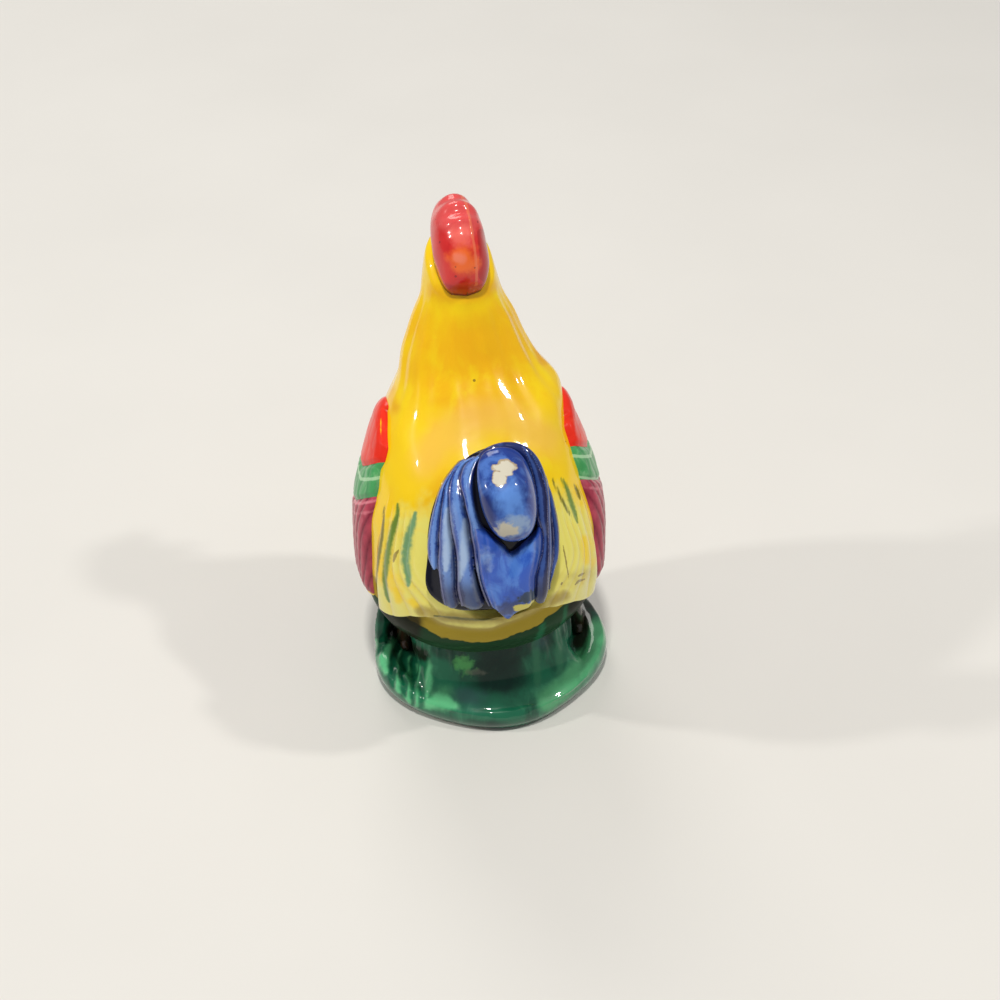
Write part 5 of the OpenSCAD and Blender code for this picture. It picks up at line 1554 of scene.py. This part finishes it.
def bodyMarks(piece, under):
    # where each colour of the body's paint was brushed on; under is 1 where the underside is painted too
    p = pointsOf(piece)
    x, y, z = p.T
    a, q, _ = tailPlace(p)
    tailFar = np.hypot((a - 1.5) / 13.5, (q + 1.5) / 17.5)
    mark(piece, "cream", most(ease((1.85 - tailFar) / 0.9) * ease((55 - z) / 13) * ease((y - 7) / 6),
                              ease((36 - z) / 5) * ease((y - 8) / 6) * 0.9))
    # painted sheen in a ring round the tail's top
    mark(piece, "paintedSheenHalo", bump(tailFar, 1.1, 0.2) * ease((z - 50) / 6))
    mark(piece, "orange", ease((z - 56) / 8) * ease((78 - z) / 10) * bump(x, 0, 12))
    amber = most(strokesOf(p, brush["neckAmber"]), strokesOf(p, brush["shoulderAmber"], 0))
    mark(piece, "amber", amber * 0.6 + 0.7 * bump(z, 76.5, 1.5) * ease((y + 14) / 3))
    mark(piece, "sun", strokesOf(p, brush["sun"], 0))
    edge = np.interp(np.degrees(np.arctan2(y, x)) % 360, *np.array(underEdge).T)
    ragged = lumpsOf(p, 0.5, 1.6, 92) + lumpsOf(p, 0.3, 0.7, 93)
    # the ochre underside with its painted shade below the lip, a painted shadow line under the tail, and
    # painted shade on the rear right
    below = edge + 5.6 - z
    mark(piece, "ochreAndPaintedShade", most(ease(below / 1.6) * under, 0.75 * strokesOf(p, brush["lip"], 0.1),
                              0.4 * strokesOf(p, brush["rearShade"], 0)))
    mark(piece, "grass", ease((edge + 0.4 + ragged - z) / 0.9) * under)
    mark(piece, "under", ease(below / 2.5) * under)
    blades = most(bump(x, -8.6, 0.8), 0.8 * bump(x, -13.2, 0.6))
    mark(piece, "grassLight", under * ease((edge - z) / 1.5) * blades * ease((y - 8) / 4))
    for key in ("olive", "green", "teal", "scuff"):
        routes = [(route, width * brushSpread) for route, width in brush[key]]
        mark(piece, key, strokesOf(p, routes, 0.05, 0.6))
    # painted shade on the belly's sides
    mark(piece, "bellyPaintedShade", strokesOf(p, brush["bellyPaintedShade"], 0.2) * under)
    return piece


dress(bodyMarks(makeBird(), 1), yellowGlaze, "yellow", "body_shell", "neck", "head")
dress(bodyMarks(makeSaddle(), 0), creamGlaze, "cream_yellow", "left_saddle_feathers", "right_saddle_feathers")


def wingMarks(piece, side):
    p = pointsOf(piece)
    z, turn, over = p[:, 2], turnOf(p), pastEdge(p, side)
    mark(piece, "yellow", most(ease((over - 1.5) / 1.6), ease((turn - 4) / 4) * (1 - ease((z - 25) / 1.5))))
    mark(piece, "line", bump(over, -1.6, 0.9) * ease((46 - z) / 3) * 0.8)
    u = (turn - wing["front"]) / (wing["rear"] - wing["front"])
    low, high = barLow(u, side), barHigh(u, side)
    mark(piece, "pale", most(0.9 * bump(z, high - 0.3, 0.45), 0.7 * bump(z, low + 0.5, 0.5),
                             0.5 * bump(z, low - 1.6, 0.7)))
    return piece


# each relief's lower and upper edge, feathers and open edges, then its glaze, slot and clay form
reliefs = [
    ("WingShoulder", barHigh, wingHigh, scales, False, True, scarletGlaze, "scarlet", "_wing_shoulder"),
    ("WingBar", barLow, barHigh, barFeathers, False, False, lightGreenGlaze, "light_green", "_wing_bar"),
    ("WingPrimaries", wingLow, barLow, flights, True, False, pinkGlaze, "pink", "_wing_primaries")]
for side, label in sides:
    for form, low, high, relief, openLow, openHigh, glaze, slot, node in reliefs:
        piece = makeRelief(label + form, side, low, high, relief, openLow, openHigh)
        dress(wingMarks(piece, side), glaze, slot, label + node)

combPiece = makeComb()
p = pointsOf(combPiece)
# painted sheen on the comb's top
mark(combPiece, "paintedTopSheen", ease((p[:, 2] - 86.5) / 2.5))
mark(combPiece, "crimson", most(strokeMask(p, [(-3.0, -11.5, 86.5), (-3.2, -9.8, 83.3), (-2.8, -9, 80)], 1.5),
                                0.8 * ease((81 - p[:, 2]) / 3)))
dress(combPiece, redGlaze, "red", "comb")
upperBeak = makeBill("upperBeak", beak["length"], beak["width"] / 2, beak["height"],
                     beak["height"] * 0.3, False)
dress(upperBeak, orangeGlaze, "orange", "upper_beak")
lowerBeak = makeBill("lowerBeak", beak["length"] * 0.7, beak["width"] * 0.42, beak["height"] * 0.55,
                     -0.1, True)
dress(lowerBeak, orangeGlaze, "orange", "lower_beak")
for side, label in sides:
    dress(makeWattle(label + "Wattle", side), redGlaze, "red", label + "_wattle")
    dress(makeEye(label + "Eye", side), blackGlaze, "black", label + "_eye")

core = makeCore()
mark(core, "soot", np.ones(len(core.data.vertices)))
dress(core, coreGlaze, "navy", "tail_core")
leftTail = makeLeftTail()
mark(leftTail, "streak", strokesOf(pointsOf(leftTail), [
    ([(4.6, 23.1, 53.3), (4.8, 24.4, 50.1), (5.2, 25.3, 46.7), (6.2, 25.9, 42.9)], 1.7),
    ([(7.3, 20.9, 54.0), (7.4, 23.0, 49.3), (8.2, 24.6, 44.2)], 1.7),
    ([(2.7, 26.1, 47.0), (3.1, 26.8, 43.3), (3.2, 27.1, 39.1)], 1.7)], 0, 0.6))
dress(leftTail, featherGlaze, "blue", "left_tail_feathers")
dress(makeRightTail(), darkFeatherGlaze, "blue", "right_tail_feathers")
plumePiece = makePlume()
mark(plumePiece, "streak", 0.4 * strokesOf(pointsOf(plumePiece), [
    ([(1.7, 25.4, 49.4), (1.5, 26.0, 47.5), (0.9, 26.7, 45.1)], 2.0)], 0, 0.6))
dress(plumePiece, plumeGlaze, "blue", "tail_plume")
dress(makeKnob(), knobGlaze, "blue", "tail_sickle")

mossStrokes = {
    "rightRim": [([(-22.5, 1.5, 5.4), (-21.0, 5.0, 5.4), (-19.2, 8.6, 5.2), (-16.8, 12.0, 4.9),
                   (-14.0, 14.6, 4.1), (-10.4, 17.4, 3.8)], 3.6)],
    "legs": [([(16.5, -4.5, 5.2), (15.0, -3, 5), (13.6, 0.5, 5.0), (11.3, 2.2, 5)], 2.6),
             ([(-20.6, -3.1, 5.4), (-19.3, 1.2, 5.0), (-18.2, 3.5, 4.4)], 2.2)],
}


def mossMarks(piece):
    # the mound's light and dark places, partly painted light, shade and reflection, its leaves and its bare
    # foot
    p = pointsOf(piece)
    x, y, z = p.T
    valley, crest = leafMarks(p)
    mark(piece, "groove", valley)
    # the leaf crests' lighter green is partly painted light
    mark(piece, "leaf", crest)
    # painted light along the right rim's top, and a lighter spot at the left rear
    spot = 0.5 * bump(np.hypot(x - 9.9, y - 16), 0, 3.4) * ease((z - 2) / 2) * ease((9 - z) / 3)
    mark(piece, "paintedLight", most(strokesOf(p, mossStrokes["rightRim"], 0.1), spot))
    # painted shade on the trunk under the belly, most at the rear middle; darker also at the foot of the rear
    # middle
    mark(piece, "dark", most(
        bump(x, -1.6, 6.5) * ease((y - 8) / 4) * ease((z - 5.4) / 3), 0.55 * ease((z - 10) / 3),
        0.6 * bump(x, 2.5, 6) * ease((y - 8) / 4) * (1 - ease((z - 2.6) / 1.5))))
    ribs = most(bump(x, -8.6, 0.9), 0.9 * bump(x, -13.2, 0.9), 0.8 * bump(x, 11.4, 1.2))
    mark(piece, "streak", ribs * ease((y - 3) / 3) * ease((z - 5.5) / 2))
    # painted blue-grey reflections on the trunk, low at the left rear and high on the right
    mark(piece, "teal", bump(x, 4.5, 3.5) * bump(z, 6.2, 1.6) * ease((y - 10) / 3)
         + 0.6 * bump(x, -9.5, 1.5) * ease((z - 11) / 3))
    mark(piece, "legShade", most(strokesOf(p, mossStrokes["legs"], 0.1),
                                 0.8 * ease((-2 - y) / 3) * ease((-12 - x) / 3)))
    mark(piece, "shade", ease((z - 5.6) / 3))
    mark(piece, "bare", (1 - ease((z - 0.1) / 0.4)) * 0.6 * ease((x + 2) / 4))
    return piece


dress(mossMarks(makeMound()), grassPaint, "green", "base_mound", "grass_tuft")
dress(makeLegs(), brownGlaze, "brown", "left_leg", "right_leg")
print("rooster dressed")


# floor, light and camera

# lengths here are in metres; a lamp's place is on the camera's right, up and towards it, then size and power
studio = {"floor": (228, 226, 222), "floorShade": 8, "floorHalf": 1.6, "floorDrop": 0.0001, "sky": 0.3,
          "reach": 0.9, "middle": (0, 0, 0.045), "tint": (255, 252, 246)}
lamps = {
    "topLamp": ((-0.04, 0.58, 0.82), 0.055, 4.2), "leftLamp": ((-0.83, 0.37, 0.41), 0.045, 1.9),
    "rightLamp": ((0.62, 0.56, 0.55), 0.045, 1.7), "backLamp": ((-0.25, 0.95, -0.2), 0.4, 2.0),
}

floorMesh = bpy.data.meshes.new("floor")
floorMesh.from_pydata([(x * studio["floorHalf"], y * studio["floorHalf"], -studio["floorDrop"])
                       for x, y in ((-1, -1), (1, -1), (1, 1), (-1, 1))], [], [(0, 1, 2, 3)])
floor = addObject("floor", floorMesh)
floorPaint = bpy.data.materials.new("studioFloor")
floorPaint.use_nodes = True
floorTree = floorPaint.node_tree
floorShader = floorTree.nodes["Principled BSDF"]
floorShader.inputs["Roughness"].default_value = 0.75
floorCloud = addNode(floorTree, "ShaderNodeTexNoise", Scale=14.0, Detail=4.0,
                     Vector=floorTree.nodes.new("ShaderNodeTexCoord").outputs["Object"])
pale, shaded = colour(*studio["floor"]), colour(*[c - studio["floorShade"] for c in studio["floor"]])
feed(floorTree, floorShader.inputs["Base Color"], mixColours(floorTree, floorCloud, pale, shaded))
floorMesh.materials.append(floorPaint)
floor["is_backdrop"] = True

world = bpy.data.worlds.new("studio")
bpy.context.scene.world = world
world.use_nodes = True
worldTree = world.node_tree
worldTree.nodes.clear()
sky = addNode(worldTree, "ShaderNodeBackground", Color=colour(240, 240, 240), Strength=studio["sky"])
addNode(worldTree, "ShaderNodeOutputWorld", Surface=sky)

# the camera's axes, turned a little about its line of sight
back = Vector((math.sin(azimuth) * math.cos(elevation), -math.cos(azimuth) * math.cos(elevation),
               math.sin(elevation)))
level = (-back).cross(Vector((0, 0, 1))).normalized()
upright = level.cross(-back)
right = level * math.cos(roll) + upright * math.sin(roll)
up = upright * math.cos(roll) - level * math.sin(roll)

camera = addObject("camera", bpy.data.cameras.new("camera"))
camera.data.lens = shot["focal"] / shot["pixels"] * shot["sensor"]
camera.data.sensor_width = shot["sensor"]
camera.data.clip_start = 0.01
eyePoint = Vector(shot["look"]) + back * shot["distance"]
camera.matrix_world = Matrix.Translation(eyePoint * mm) @ Matrix((right, up, back)).transposed().to_4x4()
bpy.context.scene.camera = camera

middle = Vector(studio["middle"])
for name, (way, size, power) in lamps.items():
    data = bpy.data.lights.new(name, "AREA")
    data.shape = "SQUARE"
    data.size = size
    data.energy = power
    data.color = colour(*studio["tint"])[:3]
    place = middle + (right * way[0] + up * way[1] + back * way[2]) * studio["reach"]
    lamp = addObject(name, data)
    lamp.location = place
    lamp.rotation_euler = (middle - place).to_track_quat("-Z", "Y").to_euler()
bpy.context.scene.view_settings.view_transform = "Standard"

low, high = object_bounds()
print("camera and lights set")
